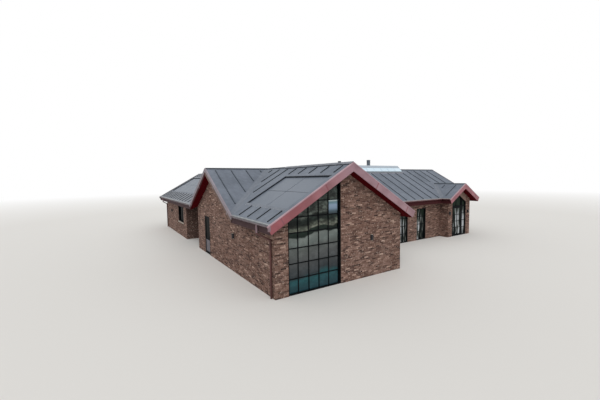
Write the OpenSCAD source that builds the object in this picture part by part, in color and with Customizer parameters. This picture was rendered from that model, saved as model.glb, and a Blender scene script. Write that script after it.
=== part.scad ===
// Brick beach house: a cross of gabled wings with a glazed gable bay. Millimetres, Z up.
// X runs along the main wing, Y from the front gable towards the back.

/* [Plan] */
// Width of the front, main and rear wings between their outside wall faces
wing_w = 6800; // [6400:50:7400]
// Distance from the front gable wall to the front wall of the main wing
front_reach = 3650; // [3400:50:4400]
// Length of the main wing between its gable walls
main_len = 19350; // [19200:50:21000]
// Distance from the back wall of the main wing to the rear gable wall
rear_reach = 11300; // [10400:50:12500]
// Thickness of the outside walls
wall_t = 350; // [300:10:400]
// Thickness of the ground floor
floor_t = 80; // [60:5:120]

/* [Bay] */
// Distance from the east gable wall to the bay
bay_from_end = 800; // [500:10:900]
// Width of the gabled bay
bay_w = 2820; // [2700:10:3000]
// How far the bay stands out from the front wall of the main wing
bay_reach = 650; // [500:10:900]
// Height of the brick band over the point of the bay's glazing
bay_band_h = 520; // [440:2:640]

/* [Porch] */
// Length of the recessed porch beside the rear wing
porch_len = 3400; // [2800:50:4000]
// Depth of the recessed porch behind the west wall line
porch_depth = 2500; // [1800:50:3000]

/* [Roof] */
// Slope of every roof, in degrees
roof_pitch = 30; // [29:0.5:31]
// Height of the main ridge
ridge_h = 5000; // [4900:20:5200]
// Thickness of the roof slab, square to its slope
roof_t = 285; // [250:5:300]
// Distance from a side wall to the outer face of its eaves board
eave_out = 380; // [340:10:450]
// Distance from a gable wall to the outer face of its verge boards
verge_out = 460; // [420:10:520]
// Distance from the west gable wall to the outer face of its verge boards
west_verge_out = 420; // [380:10:460]
// Distance from the rear gable wall to the outer face of its verge boards
rear_verge_out = 1400; // [600:50:1600]
// Thickness of the verge boards
verge_t = 28; // [20:2:36]
// How far the verge boards stand above the roof covering
verge_rise = 26; // [15:1:40]
// Thickness of the eaves boards
fascia_t = 25; // [18:1:32]
// Thickness of the soffit boards
soffit_t = 18; // [12:1:24]
// Distance between the batten seams of the roof covering
seam_pitch = 885; // [850:5:1000]
// Width of a batten seam
seam_w = 46; // [30:2:60]
// Height of a batten seam
seam_h = 38; // [25:1:50]
// Clearance between a roof or a gutter and what is set against it
seat_gap = 0.3; // [0.2:0.1:0.5]
// Distance from a valley to the end of a batten seam
valley_gap = 440; // [300:10:500]
// Distance from the valleys west of the front wing's ridge to a batten seam of the main wing
west_valley_gap = 280; // [200:10:400]
// Distance from the eaves edge to the end of a batten seam
seam_eave_gap = 110; // [80:10:250]
// Distance from a ridge to the upper end of its batten seams
seam_top = 200; // [170:10:300]
// Distance from the lantern, the chimney or the roof vent to a batten seam
seam_cap_gap = 80; // [50:5:120]
// Distance from the verge boards of the front and rear wings to their first batten seam
wing_seam_start = 440; // [380:10:500]
// Distance from the west gable wall to the first batten seam of the main wing
main_seam_start = 100; // [40:10:200]
// Distance from the front wall of the bay to its first batten seam
bay_seam_start = 185; // [100:5:260]
// Distance from the soffit boards of one roof to those of the next
mitre_gap = 1.5; // [1:0.5:3]
// Width of each side of the ridge capping
cap_w = 60; // [50:5:120]
// Thickness of the ridge capping
cap_t = 40; // [30:2:44]
// Height of the raised vent ridge on the front wing
vent_ridge_h = 55; // [50:1:80]
// Length of the raised vent ridge on the front wing
vent_ridge_len = 5300; // [4000:50:5800]
// Half of the width of the raised vent ridge
vent_ridge_half = 150; // [130:5:160]

/* [Gutters] */
// Outside radius of the half-round gutters
gutter_r = 58; // [50:1:65]
// Thickness of the gutter sheet
gutter_t = 4; // [3:0.5:6]
// Distance from the eaves edge down to the rim of the gutter
gutter_drop = 20; // [10:2:40]
// Gap between the end of a gutter and the verge board beside it
gutter_gap = 3; // [2:1:6]
// How far the verge boards reach past the gutters
verge_foot = 6; // [2:1:20]
// Outside radius of the downpipes
pipe_r = 38; // [30:1:45]
// Outside radius of the slanted neck of a downpipe
neck_r = 35; // [28:1:42]
// Length of the upright pipe under a gutter outlet
neck_drop = 320; // [310:5:380]
// Height of the slanted neck of a downpipe
neck_fall = 240; // [200:10:300]
// Gap between a downpipe and its wall
pipe_gap = 20; // [15:1:30]
// Distance from the front gable wall to the front downpipe
pipe_y = 210; // [150:10:300]
// Distance from the front gable wall to the gutter outlet
outlet_y = 530; // [450:10:700]
// Radius of the round elbows at the bends of a downpipe
elbow_r = 50; // [48:1:56]
// Width of a downpipe's clip
clip_w = 20; // [15:1:30]
// Height of a downpipe's clip
clip_h = 30; // [20:1:40]

/* [Lantern] */
// Distance from the west wall to the ridge lantern
lantern_x = 10600; // [10200:50:10800]
// Length of the ridge lantern
lantern_len = 4500; // [4200:50:5000]
// Half of the width of the ridge lantern
lantern_half = 450; // [380:10:520]
// Height of the lantern's kerb above the roof covering
kerb_h = 110; // [80:5:140]
// Thickness of the lantern's kerb
kerb_t = 50; // [40:2:60]
// Height of the point of the lantern above the main ridge
lantern_rise = 240; // [200:10:300]
// Thickness of the lantern's glass
lantern_glass_t = 24; // [16:2:30]
// Width of the lantern's ridge bar
lantern_bar_w = 110; // [80:5:140]
// Half of the width of the capping on the lantern's ridge
lantern_cap_half = 200; // [160:10:240]
// Thickness of the capping on the lantern's ridge
lantern_cap_t = 30; // [20:1:40]
// Height of the middle of the lantern's capping above the glass
lantern_crown = 45; // [42:1:60]
// Number of glass bays along the lantern
lantern_bays = 6; // [5:1:8]
// Width of the lantern's rafters
rafter_w = 40; // [30:1:50]
// Depth of the lantern's rafters
rafter_d = 45; // [30:1:60]

/* [Solar panels] */
// Length of one solar panel along the roof
panel_len = 1765; // [1600:5:1850]
// Height of one solar panel up the slope
panel_h = 1145; // [1000:5:1200]
// Thickness of one solar panel
panel_t = 40; // [30:2:50]
// Gap between solar panels
panel_gap = 20; // [10:1:30]
// Depth of the recess that the solar panels lie in, square to the slope
recess_depth = 95; // [75:5:120]
// Gap between the solar panels and the sides of their recess
recess_gap = 20; // [10:2:30]
// Horizontal distance from the ridge to the front solar panels
front_from_ridge = 900; // [800:10:1000]
// Horizontal distance from the ridge to the rear solar panels
rear_from_ridge = 750; // [700:10:1000]
// Distance from the front gable wall to the front solar panels
front_array_y = -80; // [-150:10:0]
// Distance from the edge of the rear overhang to the rear solar panels
rear_array_in = 850; // [600:10:1200]
// Number of solar panels in a row on the front wing
front_array_count = 2; // [1:1:2]
// Number of solar panels in a row on the rear wing
rear_array_count = 5; // [2:1:5]
// Distance from the solar panels up to the batten seams above them
array_top_gap = 230; // [150:10:300]
// Distance from the solar panels down to the batten seams below them
array_foot_gap = 170; // [100:10:250]

/* [Windows] */
// Distance between the centres of the glazing bars across a window
pane_w = 490; // [470:5:520]
// Distance between the centres of the glazing bars up a window
pane_h = 588; // [560:2:600]
// Width of a window frame seen from outside
frame_w = 45; // [35:1:60]
// Depth of a window frame
frame_d = 150; // [120:5:180]
// Distance from the brick face back to a window frame
frame_recess = 20; // [10:5:40]
// Width of a glazing bar
bar_w = 34; // [25:1:45]
// Depth of the glazing bar on each face of the glass
bar_d = 26; // [18:1:30]
// Thickness of the glass
glass_t = 24; // [16:1:30]
// Distance from the brick face back to the glass
glass_y = 115; // [90:5:125]
// Distance from the west corner to the front window
front_window_x = 570; // [500:10:700]
// Width of the front window
front_window_w = 2540; // [2500:10:2700]
// Width of the terrace windows
terrace_w = 1000; // [950:10:1050]
// Distance from the roof's underside at a side wall down to the heads of the terrace windows
terrace_head = 508; // [400:4:600]
// Distance between the terrace windows
terrace_pitch = 1950; // [1800:10:2000]
// Distance from the bay to the last terrace window
terrace_from_bay = 1690; // [1500:10:1750]
// Height of a window sill above the ground
sill_z = 1100; // [1000:10:1200]
// Distance from the roof's underside at a side wall down to the heads of the sill windows
sill_window_head = 378; // [350:2:500]
// Width of the sill windows
sill_window_w = 1900; // [1500:10:2000]
// Distance from the porch to the west window of the rear wing
rear_window_gap = 950; // [800:10:1100]
// How far a sill stands out from its wall
sill_out = 40; // [25:5:60]
// Thickness of a sill
sill_t = 60; // [40:5:80]

/* [Doors] */
// Distance from the front gable wall to the west door opening
west_door_y = 7950; // [7800:10:8100]
// Width of the west door opening
west_door_w = 1030; // [980:10:1080]
// Distance from the roof's underside at a side wall down to the head of the west door opening
west_door_head = 458; // [400:2:560]
// Distance from the shoulders of the bay's glazing down to the transom over its door
bay_door_head = 312; // [260:2:380]
// Width of the door opening in the bay
bay_door_w = 1180; // [1140:10:1220]
// Width of the post beside the door in the bay
post_w = 90; // [70:1:100]
// Height of the transom over the door in the bay
transom_h = 60; // [50:1:70]
// Width of the window beside the door in the bay
side_light_w = 440; // [400:10:500]
// Height of the door sills
threshold_h = 40; // [30:1:50]
// Thickness of a door leaf
leaf_t = 60; // [54:1:66]
// Gap round a door leaf
leaf_gap = 8; // [7:0.5:10]
// Width of the stiles and rails of a door leaf
stile_w = 100; // [90:1:110]
// Height of the solid lower panel of the west door
lower_panel_h = 830; // [700:10:900]
// Thickness of the solid lower panel of the west door
lower_panel_t = 30; // [24:1:36]
// Thickness of the glass in a door leaf
leaf_glass_t = 16; // [12:1:20]
// Depth of the glazing bars on each face of a door's glass
leaf_bar_d = 18; // [12:1:20]
// Width of the stop behind a door leaf
stop_w = 20; // [16:1:24]
// Radius of a hinge barrel
hinge_r = 8; // [7:0.5:9]
// Height of one hinge barrel
hinge_h = 60; // [50:5:70]
// Thickness of a hinge plate
hinge_t = 3; // [2:0.5:4]
// Width of a hinge plate
hinge_w = 34; // [28:1:40]
// Running gap between parts that touch as they turn
running_gap = 0.3; // [0.2:0.1:0.5]
// Part of the leaf's height below its lowest hinge and above its top one
hinge_inset = 0.12; // [0.08:0.01:0.2]
// Height of the door levers
lever_z = 1050; // [950:10:1100]
// Length of a door lever
lever_len = 129; // [110:1:150]
// Distance from a door leaf to the outer face of its lever
lever_out = 62; // [50:1:70]
// Thickness of a door lever
lever_t = 14; // [10:1:18]
// Radius of the rose pin of a door lever
lever_r = 9; // [7:1:11]
// Height of the plate behind a door lever
plate_h = 180; // [150:5:220]
// Width of the plate behind a door lever
plate_w = 40; // [30:1:50]
// Thickness of the plate behind a door lever
plate_t = 8; // [4:1:10]

/* [Roof fittings] */
// Outside radius of the round chimney
chimney_r = 105; // [90:5:120]
// Outside radius of the chimney's head
chimney_head_r = 138; // [130:2:160]
// Height of the chimney's head
chimney_head_h = 200; // [150:10:250]
// Radius of the opening in the chimney's top
chimney_bore_r = 70; // [60:2:80]
// Height of the chimney's top
chimney_top = 5780; // [5600:20:5900]
// Distance from the west wall to the chimney
chimney_x = 12700; // [12300:50:13000]
// Distance from the main ridge back to the chimney
chimney_back = 850; // [800:10:950]
// Outside radius of the roof vent's pipe
vent_r = 80; // [60:5:100]
// Outside radius of the roof vent's hat
vent_hat_r = 110; // [100:5:150]
// Height of the roof vent's hat
vent_hat_h = 120; // [80:5:160]
// Height of the roof vent's top
vent_top = 5600; // [5400:20:5700]
// Distance from the west wall to the roof vent
vent_x = 9285; // [8900:5:9500]
// Distance from the main ridge back to the roof vent
vent_back = 330; // [300:10:400]

/* [Lamps] */
// Width of a wall lamp
lamp_w = 90; // [70:5:110]
// Height of a wall lamp
lamp_h = 230; // [180:10:260]
// How far a wall lamp stands out from its wall
lamp_d = 95; // [80:5:120]
// Height of the lower end of a wall lamp
lamp_z = 1630; // [1550:10:1700]
// Thickness of the cap on a wall lamp
lamp_cap_t = 12; // [8:1:16]
// How far the cap stands out from a wall lamp
lamp_cap_out = 5; // [3:1:8]
// Distance from the west corner to the lamp on the front gable
front_lamp_x = 4850; // [4500:10:5200]
// Distance from the front gable wall to the lamp on the west wall
west_lamp_y = 4070; // [3800:10:4400]
// Distance from the front gable wall to the lamp on the rear wing
rear_lamp_y = 19280; // [18900:10:19600]
// Distance from the west side of the bay to its west lamp
bay_west_lamp = 150; // [120:10:320]
// Distance from the east side of the bay to its east lamp
bay_east_lamp = 320; // [240:10:380]

/* [Hidden] */

$fn = 48;
cut = 1;
slope = tan(roof_pitch);
roof_v = roof_t / cos(roof_pitch);
main_front = front_reach;
main_back = front_reach + wing_w;
ridge_y = front_reach + wing_w / 2;
wing_mid = wing_w / 2;
rear_y = main_back + rear_reach;
porch_end = main_back + porch_len;
bay_x = main_len - bay_from_end - bay_w;
bay_front = main_front - bay_reach;
bay_mid = bay_x + bay_w / 2;
slab_eave = eave_out - fascia_t;
slab_verge = verge_out - verge_t;
eave_z = ridge_h - slope * (wing_w / 2 + eave_out);
bay_ridge = eave_z + slope * (bay_w / 2 + eave_out);
bay_step = (ridge_h - bay_ridge) / slope;
bay_glass_h = bay_ridge - roof_v - bay_band_h;
wall_top = ridge_h - roof_v - slope * wing_w / 2;
terrace_h = wall_top - terrace_head;
sill_window_h = wall_top - sill_z - sill_window_head;
west_door_h = wall_top - west_door_head;
foot_out = eave_out + 2 * gutter_r + verge_foot;
foot_in = foot_out - (roof_v + soffit_t + verge_rise) * cos(roof_pitch) * sin(roof_pitch);
west_in = verge_out - west_verge_out;
rear_more = rear_verge_out - verge_out;
bay_post_x = frame_w + bay_door_w;
light_x = bay_post_x + post_w;
bay_glass_w = light_x + side_light_w + frame_w;
bay_glass_x = bay_mid - bay_glass_w / 2;
bay_shoulder = bay_glass_h - slope * bay_glass_w / 2;
bay_door_h = bay_shoulder - bay_door_head;
terrace_xs = [for (i = [2:-1:0]) bay_x - terrace_from_bay - terrace_w - i * terrace_pitch];
back_window_xs = [for (i = [1:3]) wing_w + (main_len - wing_w) * i / 4 - sill_window_w / 2];
east_window_y = ridge_y - sill_window_w / 2;
rear_window_y = porch_end + rear_window_gap;
rear_east_ys = [for (i = [1:2]) main_back + rear_reach * i / 3 - sill_window_w / 2];
rear_gable_x = wing_mid - sill_window_w / 2;
seam_end = wing_w / 2 + eave_out - seam_eave_gap;
rows_h = 2 * panel_h + panel_gap;
rear_array_y = rear_y + rear_verge_out - rear_array_in - array_len(rear_array_count);
gutter_off = eave_out + gutter_r;
gutter_z = eave_z - gutter_drop;
gutter_end = slab_verge - gutter_gap;
lantern_foot = ridge_h - slope * lantern_half + kerb_h;
lantern_apex = ridge_h + lantern_rise;
lantern_bar_half = lantern_bar_w / 2;
pane_slope = (lantern_apex - lantern_foot) / (lantern_half - lantern_bar_half);
lantern_cap_foot = lantern_apex + lantern_glass_t - (lantern_cap_half - lantern_bar_half) * pane_slope;
leaf_back = frame_recess + leaf_t;
hinge_off = hinge_r + running_gap;
west_leaf_w = west_door_w - 2 * frame_w;
west_leaf_h = west_door_h - frame_w;
x_low = -max(foot_out, verge_out);
x_high = main_len + verge_out;
y_low = -verge_out;
y_high = rear_y + rear_verge_out;
brick = "#7b5c52";
felt_grey = "#7b8289";
board_red = "#94545c";
steel_black = "#1c1f21";
glass_tint = "#6d8a8c";

// The house stands centred on the origin.
module place() translate([-(x_low + x_high) / 2, -(y_low + y_high) / 2, 0]) children();

// Roof forms

// A gabled solid along +Y with its ridge over x = 0.
module gable_solid(half, apex, len)
    translate([0, len, 0]) rotate([90, 0, 0]) linear_extrude(len)
        polygon([
            [-half, 0], [half, 0], [half, apex - slope * half], [0, apex], [-half, apex - slope * half]
        ]);

module front_form(drop, eave, verge)
    translate([wing_mid, -verge, 0]) gable_solid(wing_w / 2 + eave, ridge_h - drop, ridge_y + verge);

module rear_form(drop, eave, verge)
    translate([wing_mid, ridge_y, 0])
        gable_solid(wing_w / 2 + eave, ridge_h - drop, rear_y - ridge_y + verge + rear_more);

module main_form(drop, eave, verge)
    translate([main_len + verge, ridge_y, 0]) rotate([0, 0, 90])
        gable_solid(wing_w / 2 + eave, ridge_h - drop, main_len + 2 * verge - west_in);

module bay_form(drop, eave, verge)
    translate([bay_mid, bay_front - verge, 0])
        gable_solid(bay_w / 2 + eave, bay_ridge - drop, ridge_y - bay_front + verge);

module house_form(drop, eave, verge) {
    front_form(drop, eave, verge);
    rear_form(drop, eave, verge);
    main_form(drop, eave, verge);
    bay_form(drop, eave, verge);
}

// Everything under the roof slabs.
module under_roof() house_form(roof_v, eave_out + cut, verge_out + cut);

// Outline of the roofs seen from above.
module roof_plan(eave, verge) {
    translate([-eave, -verge]) square([wing_w + 2 * eave, ridge_y + verge]);
    translate([-eave, ridge_y]) square([wing_w + 2 * eave, rear_y - ridge_y + verge + rear_more]);
    translate([west_in - verge, main_front - eave])
        square([main_len + 2 * verge - west_in, wing_w + 2 * eave]);
    translate([bay_x - eave, bay_front - verge]) square([bay_w + 2 * eave, bay_reach + verge]);
}

// Outline of the walls seen from above, moved in by inset.
module wall_plan(inset) difference() {
    union() {
        translate([inset, inset]) square([wing_w - 2 * inset, rear_y - 2 * inset]);
        translate([inset, main_front + inset]) square([main_len - 2 * inset, wing_w - 2 * inset]);
        translate([bay_x + inset, bay_front + inset]) square([bay_w - 2 * inset, wing_w / 2]);
    }
    translate([-cut, main_back - inset]) square([porch_depth + inset + cut, porch_len + 2 * inset]);
}

// Walls

// A wall block from corner a to corner b, trimmed under the roof.
module wall_block(a, b) intersection() {
    translate([a[0], a[1], 0]) cube([b[0] - a[0], b[1] - a[1], ridge_h]);
    under_roof();
}

module front_gable_wall() color(brick) {
    wall_block([0, 0], [front_window_x, wall_t]);
    wall_block([front_window_x + front_window_w, 0], [wing_w, wall_t]);
}

module front_east_wall() color(brick)
    wall_block([wing_w - wall_t, wall_t], [wing_w, main_front + wall_t]);

module west_wall() color(brick) {
    wall_block([0, wall_t], [wall_t, west_door_y]);
    wall_block([0, west_door_y + west_door_w], [wall_t, main_back]);
}

module main_front_walls() color(brick) difference() {
    wall_block([wing_w, main_front], [main_len, main_front + wall_t]);
    for (x = terrace_xs)
        translate([x, main_front - cut, -cut]) cube([terrace_w, wall_t + 2 * cut, ridge_h]);
    translate([bay_x + wall_t, main_front - cut, -cut])
        cube([bay_w - 2 * wall_t, wall_t + 2 * cut, ridge_h]);
}

module lintels() color(brick) {
    for (x = terrace_xs) intersection() {
        wall_block([x, main_front], [x + terrace_w, main_front + wall_t]);
        translate([x, main_front, terrace_h]) cube([terrace_w, wall_t, ridge_h]);
    }
    intersection() {
        wall_block([0, west_door_y], [wall_t, west_door_y + west_door_w]);
        translate([0, west_door_y, west_door_h]) cube([wall_t, west_door_w, ridge_h]);
    }
}

// Each side of the bay: a pier beside the glazing and the wall behind it.
module bay_walls() color(brick) {
    wall_block([bay_x, bay_front], [bay_glass_x, bay_front + wall_t]);
    wall_block([bay_x, bay_front + wall_t], [bay_x + wall_t, main_front]);
    wall_block([bay_glass_x + bay_glass_w, bay_front], [bay_x + bay_w, bay_front + wall_t]);
    wall_block([bay_x + bay_w - wall_t, bay_front + wall_t], [bay_x + bay_w, main_front]);
}

// Outline of the bay's glazing, moved in by inset.
module bay_glass_outline(inset) {
    rise = inset * slope - inset / cos(roof_pitch);
    polygon([
        [inset, inset], [bay_glass_w - inset, inset],
        [bay_glass_w - inset, bay_shoulder + rise],
        [bay_glass_w / 2, bay_glass_h - inset / cos(roof_pitch)],
        [inset, bay_shoulder + rise]
    ]);
}

// Stands an outline upright in the wall plane, from depth y0 to y1.
module upright(y0, y1) translate([0, y1, 0]) rotate([90, 0, 0]) linear_extrude(y1 - y0) children();

module bay_gable_band() color(brick) difference() {
    wall_block([bay_glass_x, bay_front], [bay_glass_x + bay_glass_w, bay_front + wall_t]);
    translate([bay_glass_x, bay_front, 0]) {
        upright(-cut, wall_t + cut) bay_glass_outline(0);
        translate([0, -cut, -cut]) cube([bay_glass_w, wall_t + 2 * cut, sill_z]);
    }
}

// A hole for a sill window in a wall along X.
module sill_hole(x, y) translate([x, y - cut, sill_z])
    cube([sill_window_w, wall_t + 2 * cut, sill_window_h]);

module east_gable_wall() color(brick) difference() {
    wall_block([main_len - wall_t, main_front + wall_t], [main_len, main_back - wall_t]);
    translate([main_len, east_window_y, 0]) rotate([0, 0, 90]) sill_hole(0, 0);
}

module back_wall() color(brick) difference() {
    wall_block([wing_w, main_back - wall_t], [main_len, main_back]);
    for (x = back_window_xs) sill_hole(x, main_back - wall_t);
}

module rear_west_wall() color(brick) difference() {
    wall_block([0, porch_end + wall_t], [wall_t, rear_y - wall_t]);
    translate([wall_t, rear_window_y, 0]) rotate([0, 0, 90]) sill_hole(0, 0);
}

module rear_gable_wall() color(brick) difference() {
    wall_block([0, rear_y - wall_t], [wing_w, rear_y]);
    sill_hole(rear_gable_x, rear_y - wall_t);
}

module rear_east_wall() color(brick) difference() {
    wall_block([wing_w - wall_t, main_back - wall_t], [wing_w, rear_y - wall_t]);
    for (y = rear_east_ys) translate([wing_w, y, 0]) rotate([0, 0, 90]) sill_hole(0, 0);
}

module porch_south_wall() color(brick)
    wall_block([wall_t, main_back - wall_t], [porch_depth, main_back]);

module porch_back_wall() color(brick)
    wall_block([porch_depth, main_back - wall_t], [porch_depth + wall_t, porch_end + wall_t]);

module porch_north_wall() color(brick)
    wall_block([0, porch_end], [porch_depth, porch_end + wall_t]);

module ground_floor() color("#b7aa9a") linear_extrude(floor_t) wall_plan(wall_t);

// Roofs

module main_roof() color(felt_grey) difference() {
    main_form(0, slab_eave, slab_verge);
    under_roof();
    translate([lantern_x + kerb_t, ridge_y - lantern_half + kerb_t, 0])
        cube([lantern_len - 2 * kerb_t, 2 * (lantern_half - kerb_t), ridge_h + cut]);
}

module front_roof() color(felt_grey) difference() {
    front_form(0, slab_eave, slab_verge);
    front_form(roof_v, eave_out + cut, verge_out + cut);
    main_form(0, slab_eave, verge_out);
    array_recess(front_array_y, front_from_ridge, front_array_count);
}

module rear_roof() color(felt_grey) difference() {
    rear_form(0, slab_eave, slab_verge);
    rear_form(roof_v, eave_out + cut, verge_out + cut);
    main_form(0, slab_eave, verge_out);
    array_recess(rear_array_y, rear_from_ridge, rear_array_count);
}

module bay_roof() color(felt_grey) difference() {
    bay_form(0, slab_eave, slab_verge);
    bay_form(roof_v, eave_out + cut, verge_out + cut);
    main_form(0, slab_eave, verge_out);
}

// A batten down the slope on the +X side of a ridge over x = 0, between two runs.
module batten(apex, from, to)
    translate([0, 0, apex + seat_gap]) rotate([90, 0, 0]) linear_extrude(seam_w, center = true)
        polygon([
            [from, -slope * from], [to, -slope * to], [to, seam_h - slope * to], [from, seam_h - slope * from]
        ]);

// Battens on one slope of a wing, parted round its solar panels if there are any beside them.
module wing_batten(end, array_from = 0) {
    array_top = array_from - array_top_gap;
    array_foot = array_from + rows_h * cos(roof_pitch) + array_foot_gap;
    if (array_from > 0) {
        if (end > seam_top + seam_w) batten(ridge_h, seam_top, min(end, array_top));
        if (end > array_foot + seam_w) batten(ridge_h, array_foot, end);
    } else if (end > seam_top + seam_w) batten(ridge_h, seam_top, end);
}

// Length of a row of solar panels.
function array_len(count) = count * (panel_len + panel_gap) - panel_gap;

// Whether a batten seam at y meets the recess of a row of solar panels.
function meets_array(y, array_y, count) =
    y > array_y - recess_gap - seam_w && y < array_y + array_len(count) + recess_gap + seam_w;

module front_battens() for (y = [wing_seam_start - verge_out:seam_pitch:ridge_y - seam_top - valley_gap]) {
    end = min(seam_end, ridge_y - y - valley_gap);
    translate([wing_mid, y, 0]) {
        mirror([1, 0, 0])
            wing_batten(end, meets_array(y, front_array_y, front_array_count) ? front_from_ridge : 0);
        wing_batten(end);
    }
}

module rear_battens() {
    first = rear_y + rear_verge_out - wing_seam_start;
    for (y = [first:-seam_pitch:ridge_y + seam_top + valley_gap]) {
        end = min(seam_end, y - ridge_y - valley_gap);
        translate([wing_mid, y, 0]) {
            mirror([1, 0, 0])
                wing_batten(end, meets_array(y, rear_array_y, rear_array_count) ? rear_from_ridge : 0);
            wing_batten(end);
        }
    }
}

module main_battens() for (x = [main_seam_start:seam_pitch:main_len]) {
    by_wings = abs(x - wing_mid) - (x < wing_mid ? west_valley_gap : valley_gap);
    past_wings = x > wing_w + eave_out ? seam_end : by_wings;
    by_bay = bay_step + abs(x - bay_mid) - valley_gap;
    near_bay = abs(x - bay_mid) < bay_w / 2 + eave_out ? by_bay : seam_end;
    under_lantern = x > lantern_x - seam_w && x < lantern_x + lantern_len + seam_w;
    start = under_lantern ? lantern_half + seam_cap_gap : seam_top;
    translate([x, ridge_y, 0]) {
        if (min(past_wings, near_bay) > start + seam_w)
            rotate([0, 0, -90]) batten(ridge_h, start, min(seam_end, past_wings, near_bay));
        if (past_wings > start + seam_w)
            rotate([0, 0, 90]) batten(ridge_h, start, min(seam_end, past_wings));
    }
}

module bay_battens() {
    last = ridge_y - bay_step - seam_top - valley_gap;
    for (y = [bay_front + bay_seam_start:seam_pitch:last]) {
        end = min(bay_w / 2 + eave_out - seam_eave_gap, ridge_y - y - bay_step - valley_gap);
        translate([bay_mid, y, 0]) for (m = [0, 1]) mirror([m, 0, 0]) batten(bay_ridge, seam_top, end);
    }
}

module batten_seams() color("#555c63") difference() {
    union() {
        front_battens();
        rear_battens();
        main_battens();
        bay_battens();
    }
    translate([chimney_x, ridge_y + chimney_back, 0]) cylinder(r = chimney_r + seam_cap_gap, h = 2 * ridge_h);
    translate([vent_x, ridge_y + vent_back, 0]) cylinder(r = vent_r + seam_cap_gap, h = 2 * ridge_h);
}

// Strips over the ridges, half their width given.
module ridge_strips(half) {
    translate([wing_mid - half, -slab_verge, 0])
        cube([2 * half, rear_y + 2 * slab_verge + rear_more, 2 * ridge_h]);
    translate([west_in - slab_verge, ridge_y - half, 0])
        cube([lantern_x + slab_verge - west_in, 2 * half, 2 * ridge_h]);
    translate([lantern_x + lantern_len, ridge_y - half, 0])
        cube([main_len + slab_verge - lantern_x - lantern_len, 2 * half, 2 * ridge_h]);
    translate([bay_mid - half, bay_front - slab_verge, 0])
        cube([2 * half, ridge_y - bay_step - bay_front + slab_verge, 2 * ridge_h]);
}

module ridge_caps() color("#6c7379") difference() {
    intersection() {
        house_form(-cap_t, slab_eave, slab_verge);
        ridge_strips(cap_w);
    }
    house_form(0, slab_eave, verge_out);
}

module vent_ridge() color("#8d9499") difference() {
    translate([wing_mid, -slab_verge, 0])
        gable_solid(vent_ridge_half, ridge_h + vent_ridge_h, vent_ridge_len);
    front_form(-cap_t, slab_eave, verge_out);
}

// Edges

// A pair of verge boards over x = 0, from y = 0 to their thickness.
module verge_pair(half, apex) upright(0, verge_t) for (m = [0, 1]) mirror([m, 0, 0])
    polygon([
        [0, apex + verge_rise],
        [half + foot_out, apex - slope * (half + foot_out) + verge_rise],
        [half + foot_in, apex - slope * (half + foot_in) - roof_v - soffit_t],
        [0, apex - roof_v - soffit_t]
    ]);

module front_verge_boards() color(board_red)
    translate([wing_mid, -verge_out, 0]) verge_pair(wing_w / 2, ridge_h);

module west_verge_boards() color(board_red)
    translate([-west_verge_out, ridge_y, 0]) rotate([0, 0, -90]) verge_pair(wing_w / 2, ridge_h);

module bay_verge_boards() color(board_red)
    translate([bay_mid, bay_front - verge_out, 0]) verge_pair(bay_w / 2, bay_ridge);

module hidden_verge_boards() color(board_red) {
    translate([wing_mid, rear_y + slab_verge + rear_more, 0]) verge_pair(wing_w / 2, ridge_h);
    translate([main_len + verge_out, ridge_y, 0]) rotate([0, 0, 90]) verge_pair(wing_w / 2, ridge_h);
}

module eaves_boards() color(board_red) translate([0, 0, eave_z - roof_v]) linear_extrude(roof_v)
    difference() {
        roof_plan(eave_out, slab_verge);
        roof_plan(slab_eave, verge_out + cut);
    }

// Boards under the overhangs, mitred where two roofs meet.
module soffit_boards() color("#3f1418") difference() {
    union() {
        difference() {
            front_form(roof_v, slab_eave, slab_verge);
            front_form(roof_v + soffit_t, eave_out, verge_out);
            main_form(roof_v - mitre_gap, eave_out, verge_out);
        }
        difference() {
            rear_form(roof_v, slab_eave, slab_verge);
            rear_form(roof_v + soffit_t, eave_out, verge_out);
            main_form(roof_v - mitre_gap, eave_out, verge_out);
        }
        difference() {
            bay_form(roof_v, slab_eave, slab_verge);
            bay_form(roof_v + soffit_t, eave_out, verge_out);
            main_form(roof_v - mitre_gap, eave_out, verge_out);
        }
        difference() {
            main_form(roof_v, slab_eave, slab_verge);
            house_form(roof_v + soffit_t, slab_eave, verge_out);
        }
    }
    linear_extrude(ridge_h) wall_plan(0);
}

// Gutters

// A half-round trough along +Y with its rim at z = 0.
module trough(r, len) translate([0, len, 0]) rotate([90, 0, 0]) linear_extrude(len) intersection() {
    circle(r);
    translate([-r, -r]) square([2 * r, r]);
}

module zinc_runs(r) translate([0, 0, gutter_z]) {
    translate([-gutter_off, -gutter_end, 0])
        trough(r, main_front - foot_out - gutter_gap + gutter_end);
    translate([-gutter_off, main_back + foot_out + gutter_gap, 0])
        trough(r, rear_y + rear_more + gutter_end - main_back - foot_out - gutter_gap);
    translate([wing_w + gutter_off, main_back + gutter_off, 0])
        trough(r, rear_y + rear_more + gutter_end - main_back - gutter_off);
    translate([main_len + gutter_end, main_back + gutter_off, 0]) rotate([0, 0, 90])
        trough(r, main_len + gutter_end - wing_w - gutter_off + r);
}

module red_runs(r) translate([0, 0, gutter_z]) {
    translate([wing_w + gutter_off, -gutter_end, 0]) trough(r, main_front + gutter_end - gutter_off);
    translate([bay_x - gutter_off, main_front - gutter_off, 0]) rotate([0, 0, 90])
        trough(r, bay_x - wing_w - 2 * gutter_off + r);
    translate([bay_x - gutter_off, bay_front - gutter_end, 0])
        trough(r, bay_reach + gutter_end - gutter_off + r);
    translate([bay_x + bay_w + gutter_off, bay_front - gutter_end, 0])
        trough(r, bay_reach + gutter_end - gutter_off + r);
    translate([main_len + gutter_end, main_front - gutter_off, 0]) rotate([0, 0, 90])
        trough(r, main_len + gutter_end - bay_x - bay_w - gutter_off + r);
}

module zinc_gutters() color("#9aa1a6") difference() {
    zinc_runs(gutter_r);
    zinc_runs(gutter_r - gutter_t);
}

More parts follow.
